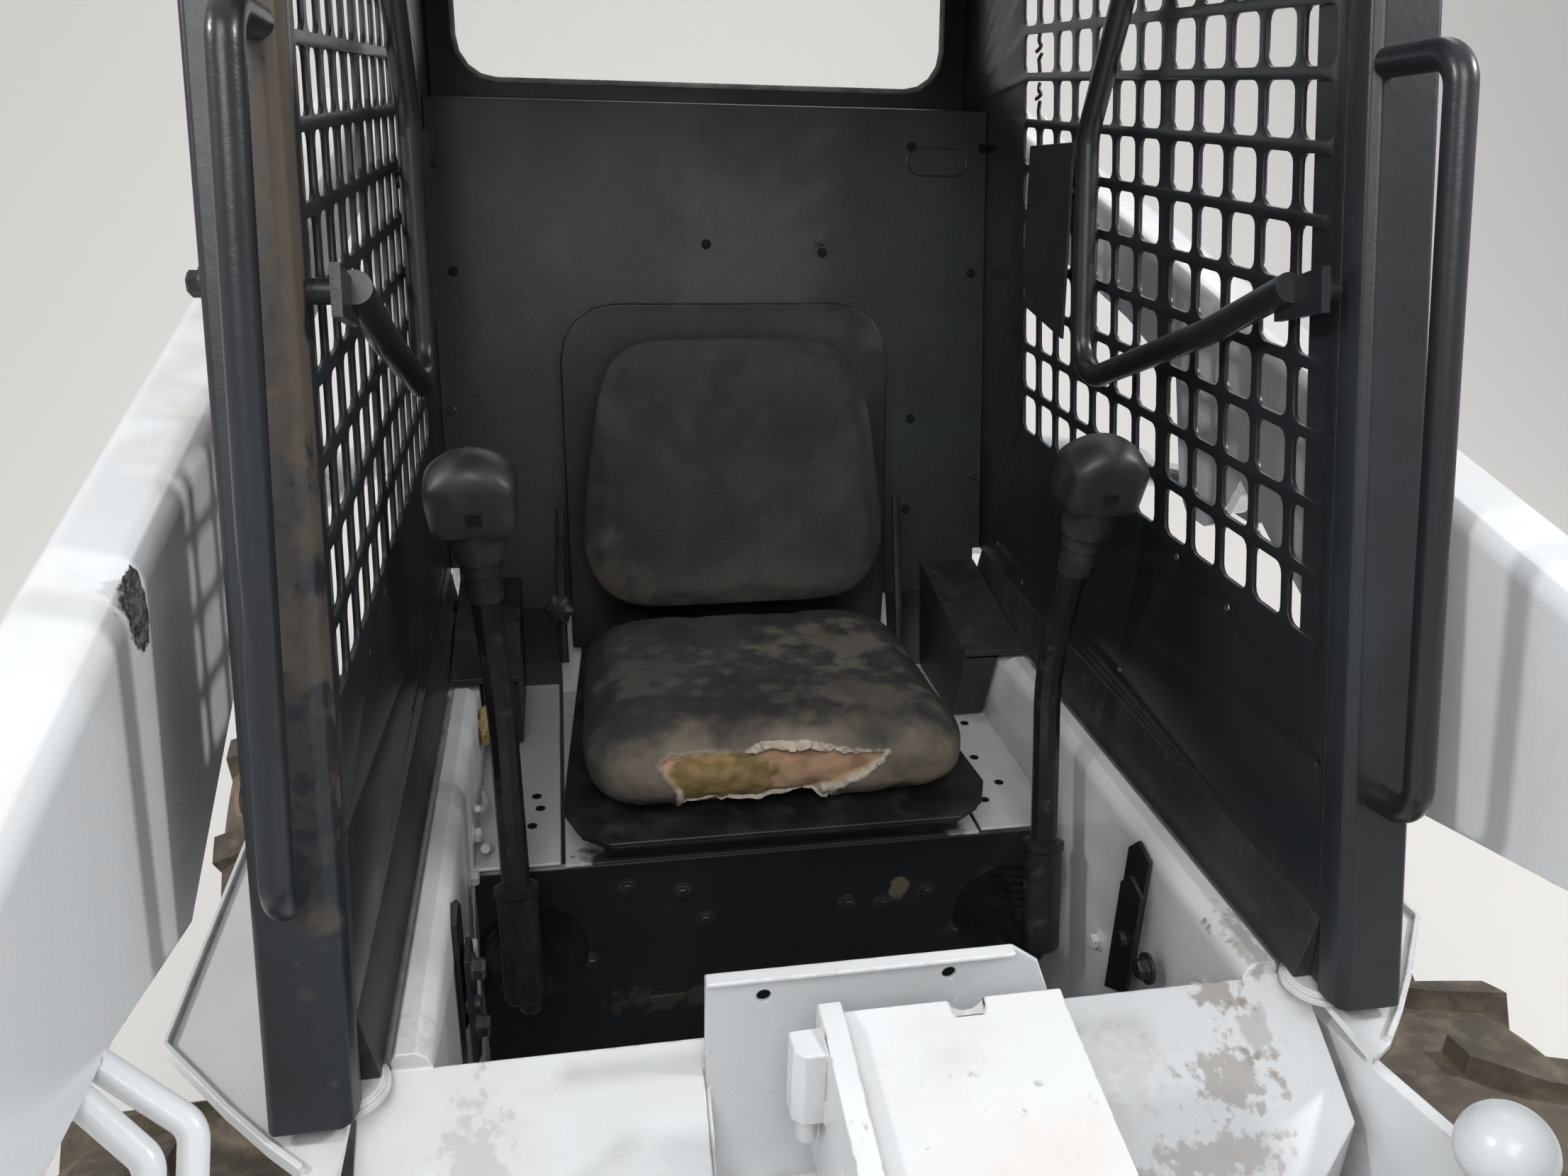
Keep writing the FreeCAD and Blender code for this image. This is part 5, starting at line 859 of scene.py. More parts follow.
def screen_mesh(side, torn):
    """The whole sheet as a filled outline: its edge, its holes and the torn openings."""
    curve = bpy.data.curves.new("sheet", "CURVE")
    curve.dimensions = "2D"
    curve.fill_mode = "BOTH"
    curve.extrude = SCREEN_HALF - SHEET_ROUND
    curve.bevel_depth = SHEET_ROUND
    curve.bevel_resolution = 1
    curve.offset = -SHEET_ROUND
    outline = [(front_edge(SILL_TOP_Z), SILL_TOP_Z), (rear_edge(SILL_TOP_Z), SILL_TOP_Z),
               (rear_edge(SHELF_Z - 0.0001), SHELF_Z), (SHELF_REAR_Y, SHELF_Z),
               (SHELF_REAR_Y + REAR_LEAN, SCREEN_TOP_Z),
               (front_edge(SCREEN_TOP_Z), SCREEN_TOP_Z)]
    rings = [outline]
    merged = set(torn.values())
    for row, column, y, z in hole_centres():
        if (column, row) in merged:
            continue
        reach = y + MESH_PITCH + MESH_HALF if (column, row) in torn else None
        rings.append(rounded_hole(y, z, reach=reach))
    for y, z in SCREW_HOLES:
        rings.append([(y + SCREW_RADIUS * math.cos(turn), z + SCREW_RADIUS * math.sin(turn))
                      for turn in (math.pi / 5 * step for step in range(10))])
    for ring in rings:
        line = curve.splines.new("POLY")
        line.points.add(len(ring) - 1)
        for knot, (y, z) in zip(line.points, ring):
            knot.co = (y, z, 0, 1)
        line.use_cyclic_u = True
    mesh = baked(placed("sheet", curve))
    stand = Matrix(((0, 0, 1, side * SCREEN_X), (1, 0, 0, 0), (0, 1, 0, 0), (0, 0, 0, 1)))
    mesh.transform(stand)
    shape = bmesh.new()
    shape.from_mesh(mesh)
    bmesh.ops.remove_doubles(shape, verts=shape.verts, dist=1e-6)
    return joined([shape])


screen_black = black_paint("screen_black", [
    ("patches", {"Scale": 2.2, "Low": 0.45, "High": 0.62}, 0.4, (0.022, 0.026, 0.028), 0.3)],
    rough=0.34, patchy=0.5, dust=0.4)
for name, side, torn in (("left", 1, TORN), ("right", -1, {})):
    screen = show(f"screen_{name}", screen_mesh(side, torn), screen_black, "cab")
    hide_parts(f"side_screen_{name}")

# What is left of the torn webs: thin bent strips of the sheet that hang from the next row.
# Column, row, foot of the strip from the hole's middle, how far it bends
STRIPS = [(10, 0, 0.024, 0.006), (10, 0, -0.024, -0.008), (10, -1, 0.022, 0.007),
          (10, -1, -0.026, -0.004)]
STRIP_RADIUS = 0.0028
rags = []
for column, row, foot, bend in STRIPS:
    level = MESH_LEVEL + MESH_RISE * row
    middle = (MESH_FRONT + MESH_GAP + column * MESH_PITCH + MESH_PITCH / 2
              + (level - MESH_LEVEL) * LEAN)
    start = (SCREEN_X, middle + foot * LEAN, level + foot * 1.06)
    rags.append(tube([start, (SCREEN_X - 0.002, middle + bend, level + foot * 0.6),
                      (SCREEN_X + 0.001, middle - bend * 0.8, level + foot * 0.35),
                      (SCREEN_X - 0.002, middle + bend * 1.4, level + foot * 0.08)],
                     STRIP_RADIUS, rounding=1))
show("torn_webs", joined(rags), screen_black, "cab")

# Sills, side boxes and the hinge ears: folded black sheet under a coat of brown dust.
dusty_black = black_paint("dusty_black", [
    ("patches", {"Scale": 7.0, "Low": 0.36, "High": 0.74}, 0.35, (0.060, 0.052, 0.043), 0.85),
    ("patches", {"Scale": 60.0, "Low": 0.60, "High": 0.72}, 0.35, (0.12, 0.10, 0.078), 0.9)],
    rough=0.5, dust=0.3)
for node, width in (("cab_sills", 0.0012), ("side_boxes", 0.0020), ("cab_hinge_ears", 0.0012),
                    ("cab_hinge_brackets", 0.0012)):
    finished(node, dusty_black, width)

# The cab's back: one folded black panel, lighter in its middle with chalky dust and a painted
# sheen, with a long shallow boss stamped in its upper left corner, screws and a few open screw
# holes, shown as discs of painted shade.
back_black = black_paint("back_black", [
    # Lighter middle: chalky dust with a painted sheen over it.
    ("spot", {"Centre": (0.02, 0.98, 1.36), "Size": (0.16, 0.20, 0.22), "Rag": 0.9,
              "Scale": 7.0, "Soft": 0.8}, 0.5, (0.060, 0.066, 0.072), 0.42),
    ("patches", {"Scale": 5.0, "Low": 0.45, "High": 0.65, "Stretch": (1, 1, 0.35)}, 0.45,
     (0.030, 0.037, 0.043), 0.38),
    ("spot", {"Centre": (0.36, 0.95, 1.20), "Size": (0.07, 0.12, 0.30), "Rag": 1.2,
              "Scale": 12.0, "Soft": 0.5}, 0.35, (0.030, 0.040, 0.030), 0.4)],
    rough=0.40, patchy=0.7, dust=0.4)
finished("cab_back", back_black, width=0.0015)
BACK_NORMAL = Vector((0, -1, BACK_SLOPE)).normalized()
BACK_HOLES = [(0.163, 1.329), (0.162, 1.219), (0.407, 1.299), (0.308, 1.074),
              (0.423, 1.485), (0.307, 1.486), (-0.02, 1.34), (0.30, 0.93), (-0.40, 1.30)]
BACK_SCREWS = [(0.163, 1.345), (0.162, 1.240), (-0.415, 1.45), (-0.415, 1.10), (0.415, 0.98)]


def on_back(x, z, proud=0.0):
    """A point of the back panel's front face, so far proud of it."""
    face_y = BACK_FOOT_Y - BACK_SKIN + (z - CAB_FOOT_Z) * BACK_SLOPE
    return Vector((x, face_y, z)) + BACK_NORMAL * proud


# The open screw holes: near-black discs, painted shade inside each hole.
fasten("back_holes", [(on_back(x, z, 0.0005), BACK_NORMAL) for x, z in BACK_HOLES],
       hole_shade_black, "cab", radius=0.0052, height=0.0016, sides=ROUND_SIDES)
fasten("back_screws", [(on_back(x, z, 0.0005), BACK_NORMAL) for x, z in BACK_SCREWS],
       bolt_black, "cab", radius=0.007, height=0.004)
BOSS_LOW_X = 0.320
BOSS_HIGH_X = 0.378
BOSS_Z = 1.464
BOSS_RADIUS = 0.020
boss_line = []
for centre_x, start in ((BOSS_HIGH_X, -math.pi / 2), (BOSS_LOW_X, math.pi / 2)):
    for step in range(7):
        turn = start + math.pi * step / 6
        boss_line.append(on_back(centre_x + BOSS_RADIUS * math.cos(turn),
                                 BOSS_Z + BOSS_RADIUS * math.sin(turn), -0.0002))
stamped_boss = joined([tube(boss_line, 0.0016, closed=True, rounding=1)])
show("stamped_boss", stamped_boss, back_black, "cab")

# The rear window: one pane in a pale rubber seal pressed round the opening.
pane_glass = coat("pane_glass", (0.93, 0.95, 0.95), 0.04, Transmission_Weight=1.0, IOR=1.05,
                  Specular_IOR_Level=0.3)
finished("rear_window", pane_glass, width=0.0)
seal_grey = coat("seal_grey", (0.30, 0.30, 0.28), 0.7, [
    ("patches", {"Scale": 30.0, "Low": 0.45, "High": 0.6}, 0.6, (0.60, 0.58, 0.53), 0.8)])
WINDOW_HALF = 0.390
WINDOW_LOW = 1.565
WINDOW_HIGH = 1.870
WINDOW_ROUND = 0.062
seal_line = []
for side, level, start in ((1, WINDOW_HIGH, 0.0), (-1, WINDOW_HIGH, 0.5),
                           (-1, WINDOW_LOW, 1.0), (1, WINDOW_LOW, 1.5)):
    middle = level - WINDOW_ROUND if level == WINDOW_HIGH else level + WINDOW_ROUND
    for step in range(5):
        turn = math.pi * (start + step / 8)
        z = middle + WINDOW_ROUND * math.sin(turn)
        seal_line.append((side * (WINDOW_HALF - WINDOW_ROUND) + WINDOW_ROUND * math.cos(turn),
                          rear_edge(z) - 0.006, z))
show("window_seal", joined([tube(seal_line, 0.0045, order=2, closed=True, rounding=2)]),
     seal_grey, "cab")

# The roof: folded black sheet on the posts and screens, dusty on top.
finished("cab_roof", black_paint("roof_black", rough=0.45, dust=0.9), width=0.0025)

# The seat's pressed pan and moulded shell: black plastic with a rolled rim, scuffed grey.
seat_plastic = coat("seat_plastic", (0.013, 0.013, 0.014), 0.38, [
    ("patches", {"Scale": 12.0, "Low": 0.5, "High": 0.68}, 0.5, (0.05, 0.047, 0.043), 0.6),
    ("dust_on_top", {"Scale": 26.0, "Low": 0.45, "High": 0.75}, 0.25, (0.11, 0.095, 0.08), 0.8),
    ("worn_edges", {"Width": 0.003, "Scale": 50.0}, 0.5, (0.12, 0.11, 0.10), 0.6)],
    [("grain", {"Scale": 500.0}, 0.0002)])
finished("seat_pan", seat_plastic, width=0.0025)
finished("seat_shell", seat_plastic, width=0.0030)

# The seat's pads: foam under black knitted cloth, worn beige where a driver slides off. The
# cushion's cloth has torn open along its front: yellow foam and a tan backing show.
CUSHION_SWELL = 0.009
BACKREST_SWELL = 0.008
VOXEL = 0.0055
PRESSURE = 4.0
CLOTH_FRAMES = 20
PAD_CUTS = 24


def make_weave():
    group, given, result = effect("weave", [("Thread", FLOAT, 3600.0)], "Height")
    place = put(group, "ShaderNodeTexCoord").outputs["Object"]
    grown = put(group, "ShaderNodeVectorMath", {0: place, "Scale": given["Thread"]},
                operation="SCALE").outputs[0]
    waves = put(group, "ShaderNodeVectorMath", {0: grown}, operation="SINE").outputs[0]
    parts = put(group, "ShaderNodeSeparateXYZ", {0: waves}).outputs
    total = maths(group, "ADD", maths(group, "MULTIPLY", parts[0], parts[2]), parts[1])
    group.links.new(total, result)


make_weave()


def swollen(name, shape, cap):
    """The pad after cloth simulation: it swells under pressure, no point past the cap."""
    mesh = bpy.data.meshes.new(name)
    bmesh.ops.recalc_face_normals(shape, faces=shape.faces)
    shape.to_mesh(mesh)
    shape.free()
    pad = placed(name, mesh)
    remesh = pad.modifiers.new("even", "REMESH")
    remesh.mode = "VOXEL"
    remesh.voxel_size = VOXEL
    seen = pad.evaluated_get(bpy.context.evaluated_depsgraph_get())
    even = bpy.data.meshes.new_from_object(seen)
    pad.modifiers.clear()
    pad.data = even
    cloth = pad.modifiers.new("cloth", "CLOTH")
    cloth.settings.use_pressure = True
    cloth.settings.uniform_pressure_force = PRESSURE
    cloth.settings.effector_weights.gravity = 0.0
    cloth.settings.quality = 4
    cloth.point_cache.frame_start = 1
    cloth.point_cache.frame_end = CLOTH_FRAMES
    for step in range(1, CLOTH_FRAMES + 1):
        bpy.context.scene.frame_set(step)
    seen = pad.evaluated_get(bpy.context.evaluated_depsgraph_get())
    blown = [vert.co.copy() for vert in seen.data.vertices]
    pad.modifiers.clear()
    bpy.context.scene.frame_set(1)
    for vert, place in zip(even.vertices, blown):
        move = place - vert.co
        vert.co += move * min(1.0, cap / max(move.length, 1e-9))
    fine = pad.modifiers.new("fine", "SUBSURF")
    fine.levels = 1
    fine.render_levels = 1
    smooth = baked(pad)
    smooth.name = name
    smooth.shade_smooth()
    return smooth


CLOTH_BLACK = (0.026, 0.027, 0.029)
WORN_BEIGE = (0.255, 0.208, 0.156)
SEAT_MIDDLE = Vector((0, 0.5105, 0.800))
FOAM_YELLOW = (0.200, 0.148, 0.042)
BACKING_TAN = (0.43, 0.270, 0.165)
FRAYED = (0.52, 0.455, 0.37)
# The torn opening on the cushion's front, from its left end round: X, and the way up the
# front and on over its edge.
TEAR = [(-0.155, 0.846), (-0.140, 0.864), (-0.090, 0.866), (-0.050, 0.858), (-0.030, 0.872),
        (0.030, 0.870), (0.060, 0.856), (0.090, 0.848), (0.124, 0.846), (0.116, 0.830),
        (0.095, 0.812), (0.060, 0.797), (0.020, 0.788), (-0.030, 0.782), (-0.085, 0.778),
        (-0.125, 0.792)]
FRONT_Y = 0.281
FOAM_CENTRE = (-0.080, 0.822)
FOAM_SIZE = (0.068, 0.042)


def tear_depth(x, z):
    """How far a point of the front lies inside the torn outline, ragged, in metres."""
    best = 1.0
    inside = False
    for (x0, z0), (x1, z1) in zip(TEAR, TEAR[1:] + TEAR[:1]):
        if (z0 > z) != (z1 > z) and x < x0 + (z - z0) / (z1 - z0) * (x1 - x0):
            inside = not inside
        run = Vector((x1 - x0, z1 - z0))
        share = max(0.0, min(1.0, Vector((x - x0, z - z0)).dot(run) / run.length_squared))
        best = min(best, (Vector((x0, z0)) + run * share - Vector((x, z))).length)
    ragged = 0.004 * noise.noise(Vector((x * 120, z * 120, 3.0)))
    return (best if inside else -best) + ragged


def ease(value):
    value = max(0.0, min(1.0, value))
    return value * value * (3 - 2 * value)


cushion_shape = pillow((0.248, 0.223, 0.050), plan_power=6.5, side_power=3.4, cuts=PAD_CUTS)
for vert in cushion_shape.verts:
    x, y, z = vert.co
    back_share = ease((y + 0.1) / 0.32)
    vert.co.x *= 1 - 0.035 * back_share
    if z > 0:
        dish = (1 - (x / 0.25) ** 2) * (1 - (y / 0.23) ** 2)
        vert.co.z += -0.004 * max(0.0, dish) + 0.010 * ease((-y - 0.02) / 0.15) - 0.006
    vert.co += SEAT_MIDDLE
cushion_mesh = swollen("cushion_pad", cushion_shape, CUSHION_SWELL)
torn_value = cushion_mesh.attributes.new("torn", "FLOAT", "POINT")
foam_value = cushion_mesh.attributes.new("foam", "FLOAT", "POINT")
fray_value = cushion_mesh.attributes.new("fray", "FLOAT", "POINT")
stain_value = cushion_mesh.attributes.new("stain", "FLOAT", "POINT")
FRONT_REACH = 0.36
front_points = []
cushion_normals = [vert.normal.copy() for vert in cushion_mesh.vertices]
for index, vert in enumerate(cushion_mesh.vertices):
    x, y, z = vert.co
    ripple = noise.noise(Vector((x * 14, y * 14, z * 20)))
    vert.co += cushion_normals[index] * 0.0016 * ripple
    if y > FRONT_REACH:
        continue
    climb = z + max(0.0, y - FRONT_Y)
    front_points.append((index, x, climb))
    depth = tear_depth(x, climb)
    if depth < -0.02:
        continue
    open_share = ease(depth / 0.004)
    away = (((x - FOAM_CENTRE[0]) / FOAM_SIZE[0]) ** 2
            + ((climb - FOAM_CENTRE[1]) / FOAM_SIZE[1]) ** 2)
    foam = ease((1.0 - away + 0.25 * noise.noise(vert.co * 90)) / 0.12)
    edge = max(0.0, 1 - abs(depth) / 0.0045)
    strands = 0.55 + 0.9 * noise.noise(vert.co * 45) + 0.5 * noise.noise(vert.co * 160)
    pale_edge = 0.25 if climb > 0.81 and x < 0.0 else 1.0
    mottle = 0.80 + 0.55 * noise.noise(vert.co * 62) + 0.30 * noise.noise(vert.co * 170)
    torn_value.data[index].value = open_share
    foam_value.data[index].value = foam * open_share * min(1.0, max(0.35, mottle))
    fray_value.data[index].value = pale_edge * ease(edge * strands * 2.2)
    stain_value.data[index].value = open_share * ease(0.1 + 1.6 * noise.noise(vert.co * 38))
    sink = 0.0085 - 0.0040 * foam + 0.0026 * noise.noise(vert.co * 48)
    vert.co -= cushion_normals[index] * (open_share * sink - 0.0022 * edge)
cushion_cloth = coat("cushion_cloth", CLOTH_BLACK, 0.85, [
    ("patches", {"Scale": 9.0, "Low": 0.40, "High": 0.70}, 0.6, (0.066, 0.066, 0.064), 0.9),
    ("spot", {"Centre": (0.0, 0.235, 0.80), "Size": (0.48, 0.150, 0.19), "Rag": 0.35,
              "Scale": 14.0, "Soft": 0.6}, 0.85, WORN_BEIGE, 0.95),
    ("spot", {"Centre": (0.10, 0.56, 0.86), "Size": (0.12, 0.10, 0.06), "Rag": 0.9,
              "Scale": 24.0, "Soft": 0.8}, 0.75, (0.19, 0.168, 0.135), 0.95),
    ("spot", {"Centre": (0.12, 0.40, 0.86), "Size": (0.15, 0.07, 0.06), "Rag": 0.9,
              "Scale": 20.0, "Soft": 0.8}, 0.6, (0.20, 0.168, 0.128), 0.95),
    ("spot", {"Centre": (-0.15, 0.50, 0.86), "Size": (0.10, 0.10, 0.06), "Rag": 1.0,
              "Scale": 26.0, "Soft": 0.8}, 0.6, (0.15, 0.138, 0.12), 0.95),
    ("patches", {"Scale": 26.0, "Low": 0.50, "High": 0.68}, 0.30, (0.14, 0.12, 0.095), 0.95),
    ("patches", {"Scale": 12.0, "Low": 0.50, "High": 0.70}, 0.35, (0.045, 0.043, 0.040), 0.8),
    ("painted", "torn", 1.0, BACKING_TAN, 0.9),
    ("painted", "foam", 1.0, FOAM_YELLOW, 0.95),
    ("painted", "stain", 0.55, (0.17, 0.105, 0.05), 0.95),
    ("painted", "fray", 0.95, FRAYED, 0.95)],
    [("weave", {}, 0.00006), ("grain", {"Scale": 130.0}, 0.0012)])
cushion = show("cushion_pad", cushion_mesh, cushion_cloth, "cab")
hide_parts("seat_cushion")

REST_MIDDLE = Vector((0, 0.772, 1.034))
REST_UP = Vector((0, 0.1718, 0.985)).normalized()
REST_FRONT = Vector((0, -0.985, 0.1718)).normalized()
rest_shape = pillow((0.235, 0.206, 0.024), plan_power=5.2, side_power=2.8, cuts=PAD_CUTS)
rest_place = Matrix.Translation(REST_MIDDLE) @ Matrix(
    (Vector((1, 0, 0)), REST_UP, -REST_FRONT)).transposed().to_4x4()
for vert in rest_shape.verts:
    x, y, z = vert.co
    share = (y / 0.208 + 1) / 2
    vert.co.x *= 1 - 0.19 * ease((share - 0.22) / 0.95) - 0.05 * ease(1 - share / 0.25)
    if z < 0:
        vert.co.z += 0.006 * (1 - (x / 0.23) ** 2) * ease(share * 1.4) - 0.004 * ease(1 - share * 2)
bmesh.ops.transform(rest_shape, matrix=rest_place, verts=rest_shape.verts)
rest_mesh = swollen("backrest_pad", rest_shape, BACKREST_SWELL)
rest_normals = [vert.normal.copy() for vert in rest_mesh.vertices]
for vert, normal in zip(rest_mesh.vertices, rest_normals):
    vert.co += normal * 0.0014 * noise.noise(vert.co * 12)
rest_cloth = coat("backrest_cloth", CLOTH_BLACK, 0.85, [
    ("patches", {"Scale": 4.5, "Low": 0.38, "High": 0.70}, 0.65, (0.062, 0.062, 0.062), 0.9),
    ("spot", {"Centre": (0.0, 0.75, 0.87), "Size": (0.30, 0.12, 0.075), "Rag": 0.5,
              "Scale": 7.0, "Soft": 0.8}, 0.55, (0.12, 0.102, 0.082), 0.95),
    ("spot", {"Centre": (-0.20, 0.74, 0.90), "Size": (0.07, 0.12, 0.09), "Rag": 0.7,
              "Scale": 20.0, "Soft": 0.7}, 0.45, (0.16, 0.132, 0.10), 0.95),
    ("spot", {"Centre": (0.05, 0.79, 1.07), "Size": (0.15, 0.12, 0.18), "Rag": 1.1,
              "Scale": 6.0, "Soft": 0.8}, 0.40, (0.085, 0.080, 0.078), 0.9),
    ("patches", {"Scale": 30.0, "Low": 0.52, "High": 0.70}, 0.22, (0.12, 0.105, 0.085), 0.95)],
    [("weave", {}, 0.00006), ("grain", {"Scale": 130.0}, 0.0010)])
backrest = show("backrest_pad", rest_mesh, rest_cloth, "cab")
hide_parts("seat_backrest")

# Torn threads and flaps at the tear: pale strips of the cloth's backing, curled outwards.
frayed_cloth = coat("frayed_cloth", FRAYED, 0.95, [
    ("patches", {"Scale": 60.0, "Low": 0.45, "High": 0.62}, 0.7, (0.33, 0.27, 0.20), 0.95)],
    [("grain", {"Scale": 300.0}, 0.0010)])
CLOTH_THICK = 0.0009
# Flap columns: outline points it follows, width, how far it stands out
FLAPS = [((3, 4, 5, 6), 0.013, 0.011), ((6, 7), 0.006, 0.004), ((11, 12), 0.007, 0.004),
         ((12, 13, 14), 0.012, 0.006), ((14, 15), 0.007, 0.003), ((9, 10), 0.005, 0.003)]


front_search = KDTree(len(front_points))
for index, x, climb in front_points:
    front_search.insert((x, climb, 0), index)
front_search.balance()
pad_places = [vert.co.copy() for vert in cushion_mesh.vertices]
pad_normals = [vert.normal.copy() for vert in cushion_mesh.vertices]


def cushion_front(x, climb):
    """The pad's front at X and so far up, by its nearest points."""
    near = [index for _, index, _ in front_search.find_n((x, climb, 0), 4)]
    place = sum((pad_places[index] for index in near), Vector()) / len(near)
    normal = sum((pad_normals[index] for index in near), Vector()).normalized()
    return place, normal


def flap(corners, width, lift, seed):
    """A ragged strip of thin cloth along part of the torn outline."""
    shape = bmesh.new()
    line = [Vector(TEAR[i]) for i in corners]
    middle = Vector((sum(p[0] for p in TEAR), sum(p[1] for p in TEAR))) / len(TEAR)
    rows = []
    steps = 14 * (len(line) - 1)
    for step in range(steps + 1):
        part = step / steps * (len(line) - 1)
        index = min(int(part), len(line) - 2)
        spot = line[index].lerp(line[index + 1], part - index)
        inward = (middle - spot).normalized()
        taper = math.sin(math.pi * step / steps) ** 0.5
        wild = 0.65 + 0.6 * noise.noise(Vector((step * 0.28, seed, 0.5)))
        rows.append([])
        for share in (-0.25, 0.0, 0.35, 0.7, 1.0):
            reach = share * width * taper * wild - 0.001
            place, normal = cushion_front(*(spot + inward * reach))
            curl = lift * taper * (max(0.0, share) ** 1.4 + 0.12)
            curl += 0.0012 * noise.noise(Vector((step * 0.2, share * 3, seed)))
            rows[-1].append(shape.verts.new(place + normal * (0.0004 + curl)))
    for low, high in zip(rows, rows[1:]):
        for i in range(len(low) - 1):
            shape.faces.new((low[i], low[i + 1], high[i + 1], high[i]))
    return shape


flaps = joined([flap(*row, seed) for seed, row in enumerate(FLAPS)], 60)
frays = show("torn_flaps", flaps, frayed_cloth, "cab")
thick = frays.modifiers.new("cloth", "SOLIDIFY")
thick.thickness = CLOTH_THICK
thick.offset = 1

# The seat's adjuster: a star knob of black plastic on a steel arm beside the backrest.
STAR_MIDDLE = Vector((-0.262, 0.735, 0.845))
STAR_AXIS = Vector((-0.35, -0.9, 0.15)).normalized()
STAR_SIDES = 30
ADJUSTER_BAR = 0.007
star = lathed([(0, 0.012), (0.006, 0.020), (0.016, 0.021), (0.021, 0.015), (0.022, 0.006)],
              STAR_MIDDLE, STAR_AXIS, STAR_SIDES)
for index, vert in enumerate(star.verts):
    lobe = 1 + 0.16 * math.cos(2 * math.pi * (index % STAR_SIDES) / 5)
    along = STAR_AXIS * (vert.co - STAR_MIDDLE).dot(STAR_AXIS)
    vert.co = STAR_MIDDLE + along + (vert.co - STAR_MIDDLE - along) * lobe
arm = tube([(-0.262, 0.750, 0.842), (-0.263, 0.775, 0.850), (-0.262, 0.790, 0.90),
            (-0.258, 0.800, 0.98)], ADJUSTER_BAR, rounding=2)
arm_low = tube([(-0.262, 0.77, 0.848), (-0.264, 0.755, 0.80), (-0.262, 0.74, 0.752)],
               ADJUSTER_BAR, rounding=2)
twin = tube([(0.262, 0.74, 0.752), (0.264, 0.765, 0.82), (0.262, 0.790, 0.90),
             (0.258, 0.800, 0.98)], ADJUSTER_BAR, rounding=2)
show("seat_adjuster", joined([star, arm, arm_low, twin]), grip_plastic, "cab")

# Lift arms: welded box sections, white, with brown wear where hands and mud rub and a
# blister of burnt paint on the right arm's inner face.
ARM_INNER_X = 0.5548
# Centre, size, share of brown wear
ARM_WEAR = [((-0.56, 0.16, 1.25), (0.03, 0.12, 0.14), 0.30),
            ((-0.56, 0.05, 1.15), (0.03, 0.20, 0.12), 0.15)]
arm_white = white_paint("arm_white", [
    *[("spot", {"Centre": centre, "Size": size, "Rag": 1.0, "Scale": 7.0, "Soft": 0.8}, share,
       (0.36, 0.27, 0.20), 0.7) for centre, size, share in ARM_WEAR],
    ("spot", {"Centre": (-0.555, -0.050, 1.203), "Size": (0.012, 0.020, 0.034), "Rag": 0.6,
              "Scale": 90.0, "Soft": 0.35}, 0.95, (0.055, 0.050, 0.047), 0.9)], dust=0.25,
    shade_dirt_share=0.35)
for node in ("lift_arm_left", "lift_arm_right", "arm_crossmember"):
    finished(node, arm_white, width=0.0)
tube_white = white_paint("tube_white", shade_dirt_share=0.3)
finished("arm_lines", tube_white, width=0.0)
burnt = coat("burnt_paint", (0.045, 0.042, 0.040), 0.9, [
    ("patches", {"Scale": 130.0, "Low": 0.47, "High": 0.56}, 0.9, (0.16, 0.15, 0.14), 0.9)],
    [("grain", {"Scale": 260.0}, 0.003)])
blister = lump((0.0035, 0.017, 0.030), (-ARM_INNER_X, -0.050, 1.203), [(0.35, 3.5)])
show("paint_blister", joined([blister], ROUGH_ANGLE), burnt, "lift_arms")
primer_bolt = coat("primer_bolt", (0.62, 0.40, 0.33), 0.5, [
    # Painted shade, with some dirt, round the bolt's head.
    ("corner_shade_and_dirt", {"Reach": 0.01, "Scale": 60.0}, 0.6, GREY_DIRT_AND_SHADE, 0.8)])
fasten("arm_bolt", [((-ARM_INNER_X, 0.104, 0.942), (1, 0, 0))], primer_bolt, "lift_arms",
       radius=0.011, height=0.011)

# Cylinders: white painted barrels on the towers and arms, and polished chromed rods, a
# little stained.
barrel_white = white_paint("barrel_white", shade_dirt_share=0.5)
chrome = coat("rod_chrome", (0.62, 0.63, 0.65), 0.10, [
    ("patches", {"Scale": 18.0, "Low": 0.5, "High": 0.7, "Stretch": (3, 1, 1)}, 0.3,
     (0.30, 0.28, 0.26), 0.4)], Metallic=1.0)
for node in ("lift_cylinder_barrels", "tilt_cylinder_barrels"):
    finished(node, barrel_white, width=0.0)
for node in ("lift_cylinder_rods", "tilt_cylinder_rods"):
    finished(node, chrome, width=0.0)

# Tool carrier and bucket: black painted plate, ground to bright steel at the cutting edge.
carrier_black = black_paint("carrier_black", dust=0.8)
finished("tool_carrier", carrier_black, width=0.0)
bucket_worn = coat("bucket_worn", (0.035, 0.036, 0.038), 0.5, [
    ("patches", {"Scale": 5.0, "Low": 0.46, "High": 0.60}, 0.75, (0.115, 0.082, 0.058), 0.75),
    ("patches", {"Scale": 12.0, "Low": 0.55, "High": 0.63, "Stretch": (0.3, 1, 1)}, 0.6,
     (0.17, 0.15, 0.13), 0.5),
    ("spot", {"Centre": (0, -1.72, 0.0), "Size": (1.2, 0.16, 0.10), "Rag": 0.35, "Scale": 9.0,
              "Soft": 0.5}, 0.9, (0.40, 0.38, 0.36), 0.32),
    ("corner_shade_and_dirt", {"Reach": 0.06, "Scale": 20.0}, 0.8, (0.15, 0.11, 0.075), 0.9),
    ("worn_edges", {"Width": 0.004, "Scale": 30.0}, 0.9, (0.34, 0.32, 0.30), 0.35)],
    [("grain", {"Scale": 150.0}, 0.0006)])
finished("bucket", bucket_worn, width=0.0015)

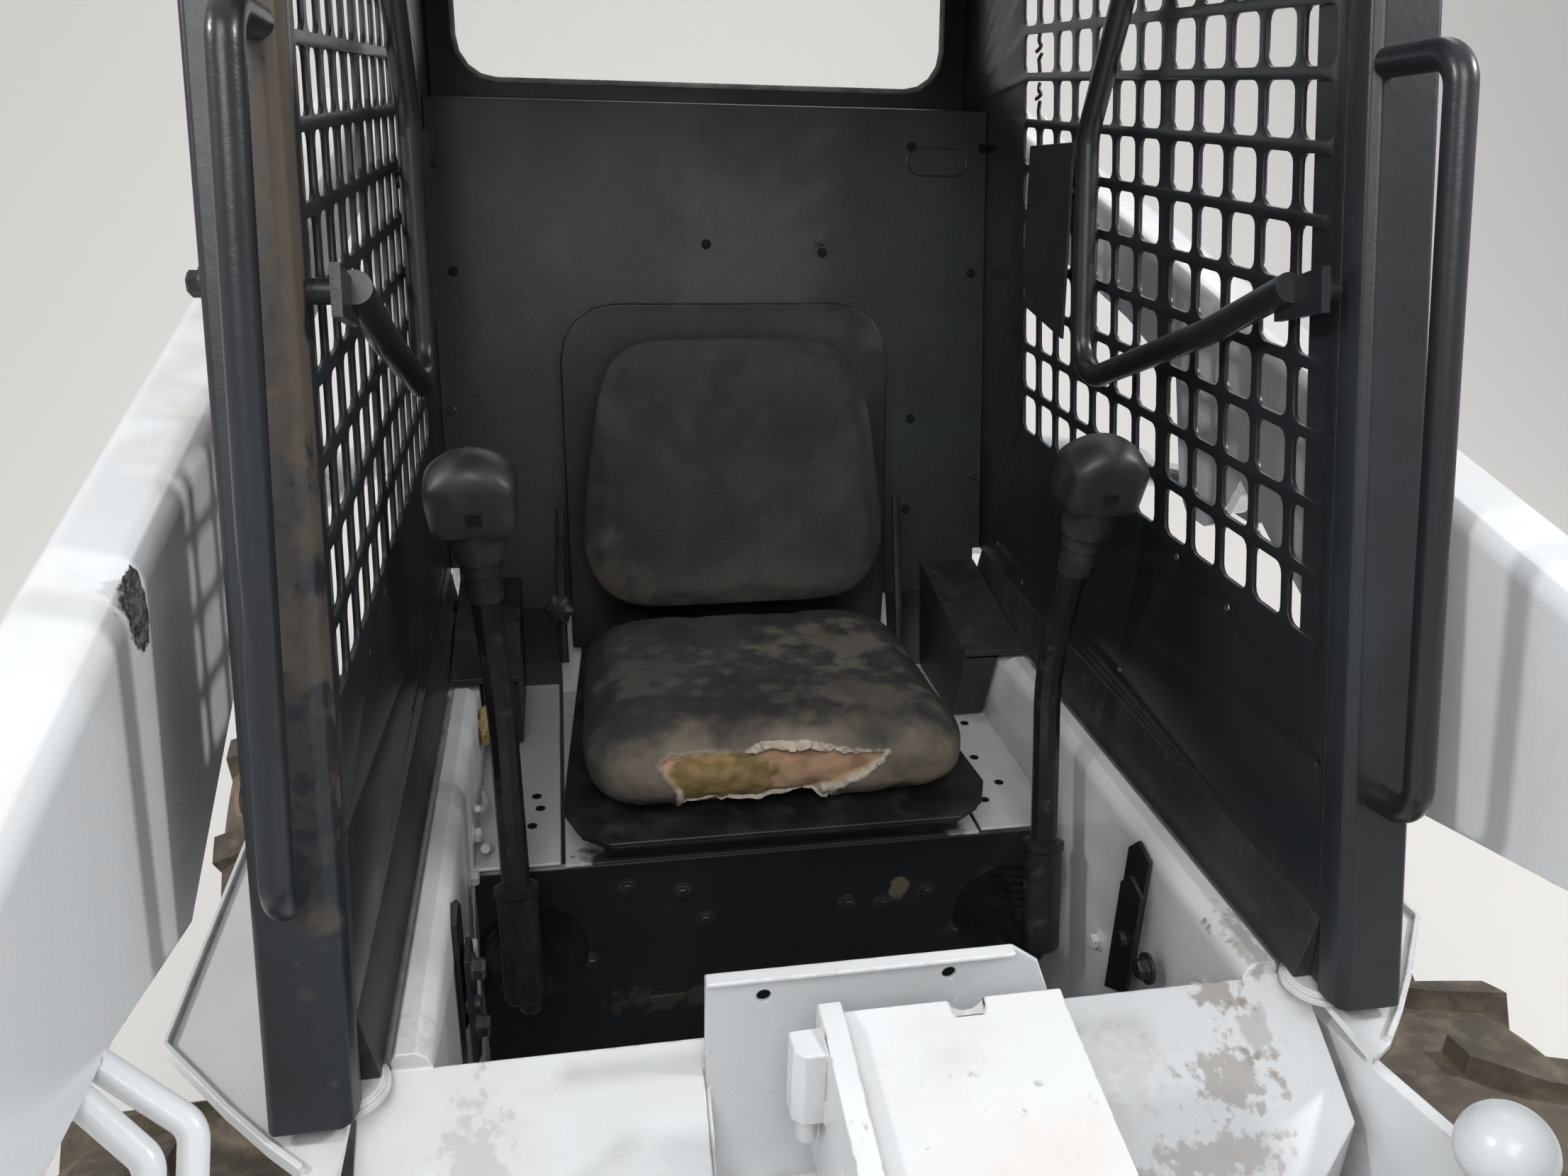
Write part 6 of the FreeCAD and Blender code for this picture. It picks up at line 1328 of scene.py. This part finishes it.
# Wheels: lugged rubber tyres caked with dry mud between the lugs, on white pressed rims
# that turn on the axle hubs.
tyre_rubber = coat("tyre_rubber", (0.030, 0.028, 0.026), 0.75, [
    ("patches", {"Scale": 5.0, "Low": 0.30, "High": 0.70}, 0.70, (0.165, 0.135, 0.098), 0.95),
    ("corner_shade_and_dirt", {"Reach": 0.075, "Scale": 22.0}, 1.0, (0.34, 0.28, 0.20), 0.95),
    ("patches", {"Scale": 40.0, "Low": 0.48, "High": 0.66}, 0.50, (0.24, 0.195, 0.14), 0.95),
    ("worn_edges", {"Width": 0.005, "Scale": 35.0}, 0.5, (0.030, 0.028, 0.026), 0.7)],
    [("grain", {"Scale": 90.0}, 0.0016), ("grain", {"Scale": 400.0}, 0.0004)])
# The rims: much painted shade, with some dirt, in their corners.
rim_white = white_paint("rim_white", shade_dirt_share=0.9)
for name in ("front_left", "front_right", "rear_left", "rear_right"):
    finished(f"tyre_{name}", tyre_rubber, width=0.0)
    finished(f"rim_{name}", rim_white, width=0.0)

# Engine end: the hood, door, bumper and pipe in black and white paint; the engine block
# in grey iron behind them.
hood_black = black_paint("hood_black", rough=0.42, dust=0.8)
finished("engine_hood", hood_black, width=0.0015)
finished("rear_door", white_paint("door_white"), width=0.0012)
finished("rear_bumper", black_paint("bumper_black", rough=0.5, dust=0.7), width=0.0030)
finished("exhaust_pipe", coat("pipe_rust", (0.030, 0.028, 0.027), 0.65, [
    ("patches", {"Scale": 14.0, "Low": 0.42, "High": 0.62}, 0.8, RUST, 0.85)]), 0.0)
finished("engine_block", coat("engine_iron", (0.10, 0.10, 0.105), 0.55, [
    ("patches", {"Scale": 8.0, "Low": 0.40, "High": 0.65}, 0.7, (0.05, 0.042, 0.035), 0.8),
    ("dust_on_top", {"Scale": 20.0, "Low": 0.35, "High": 0.6}, 0.6, DRY_DUST, 0.9)],
    [("grain", {"Scale": 200.0}, 0.0008)], Metallic=0.3), 0.0030)
finished("work_lamps", black_paint("lamp_black", rough=0.4), width=0.0010)
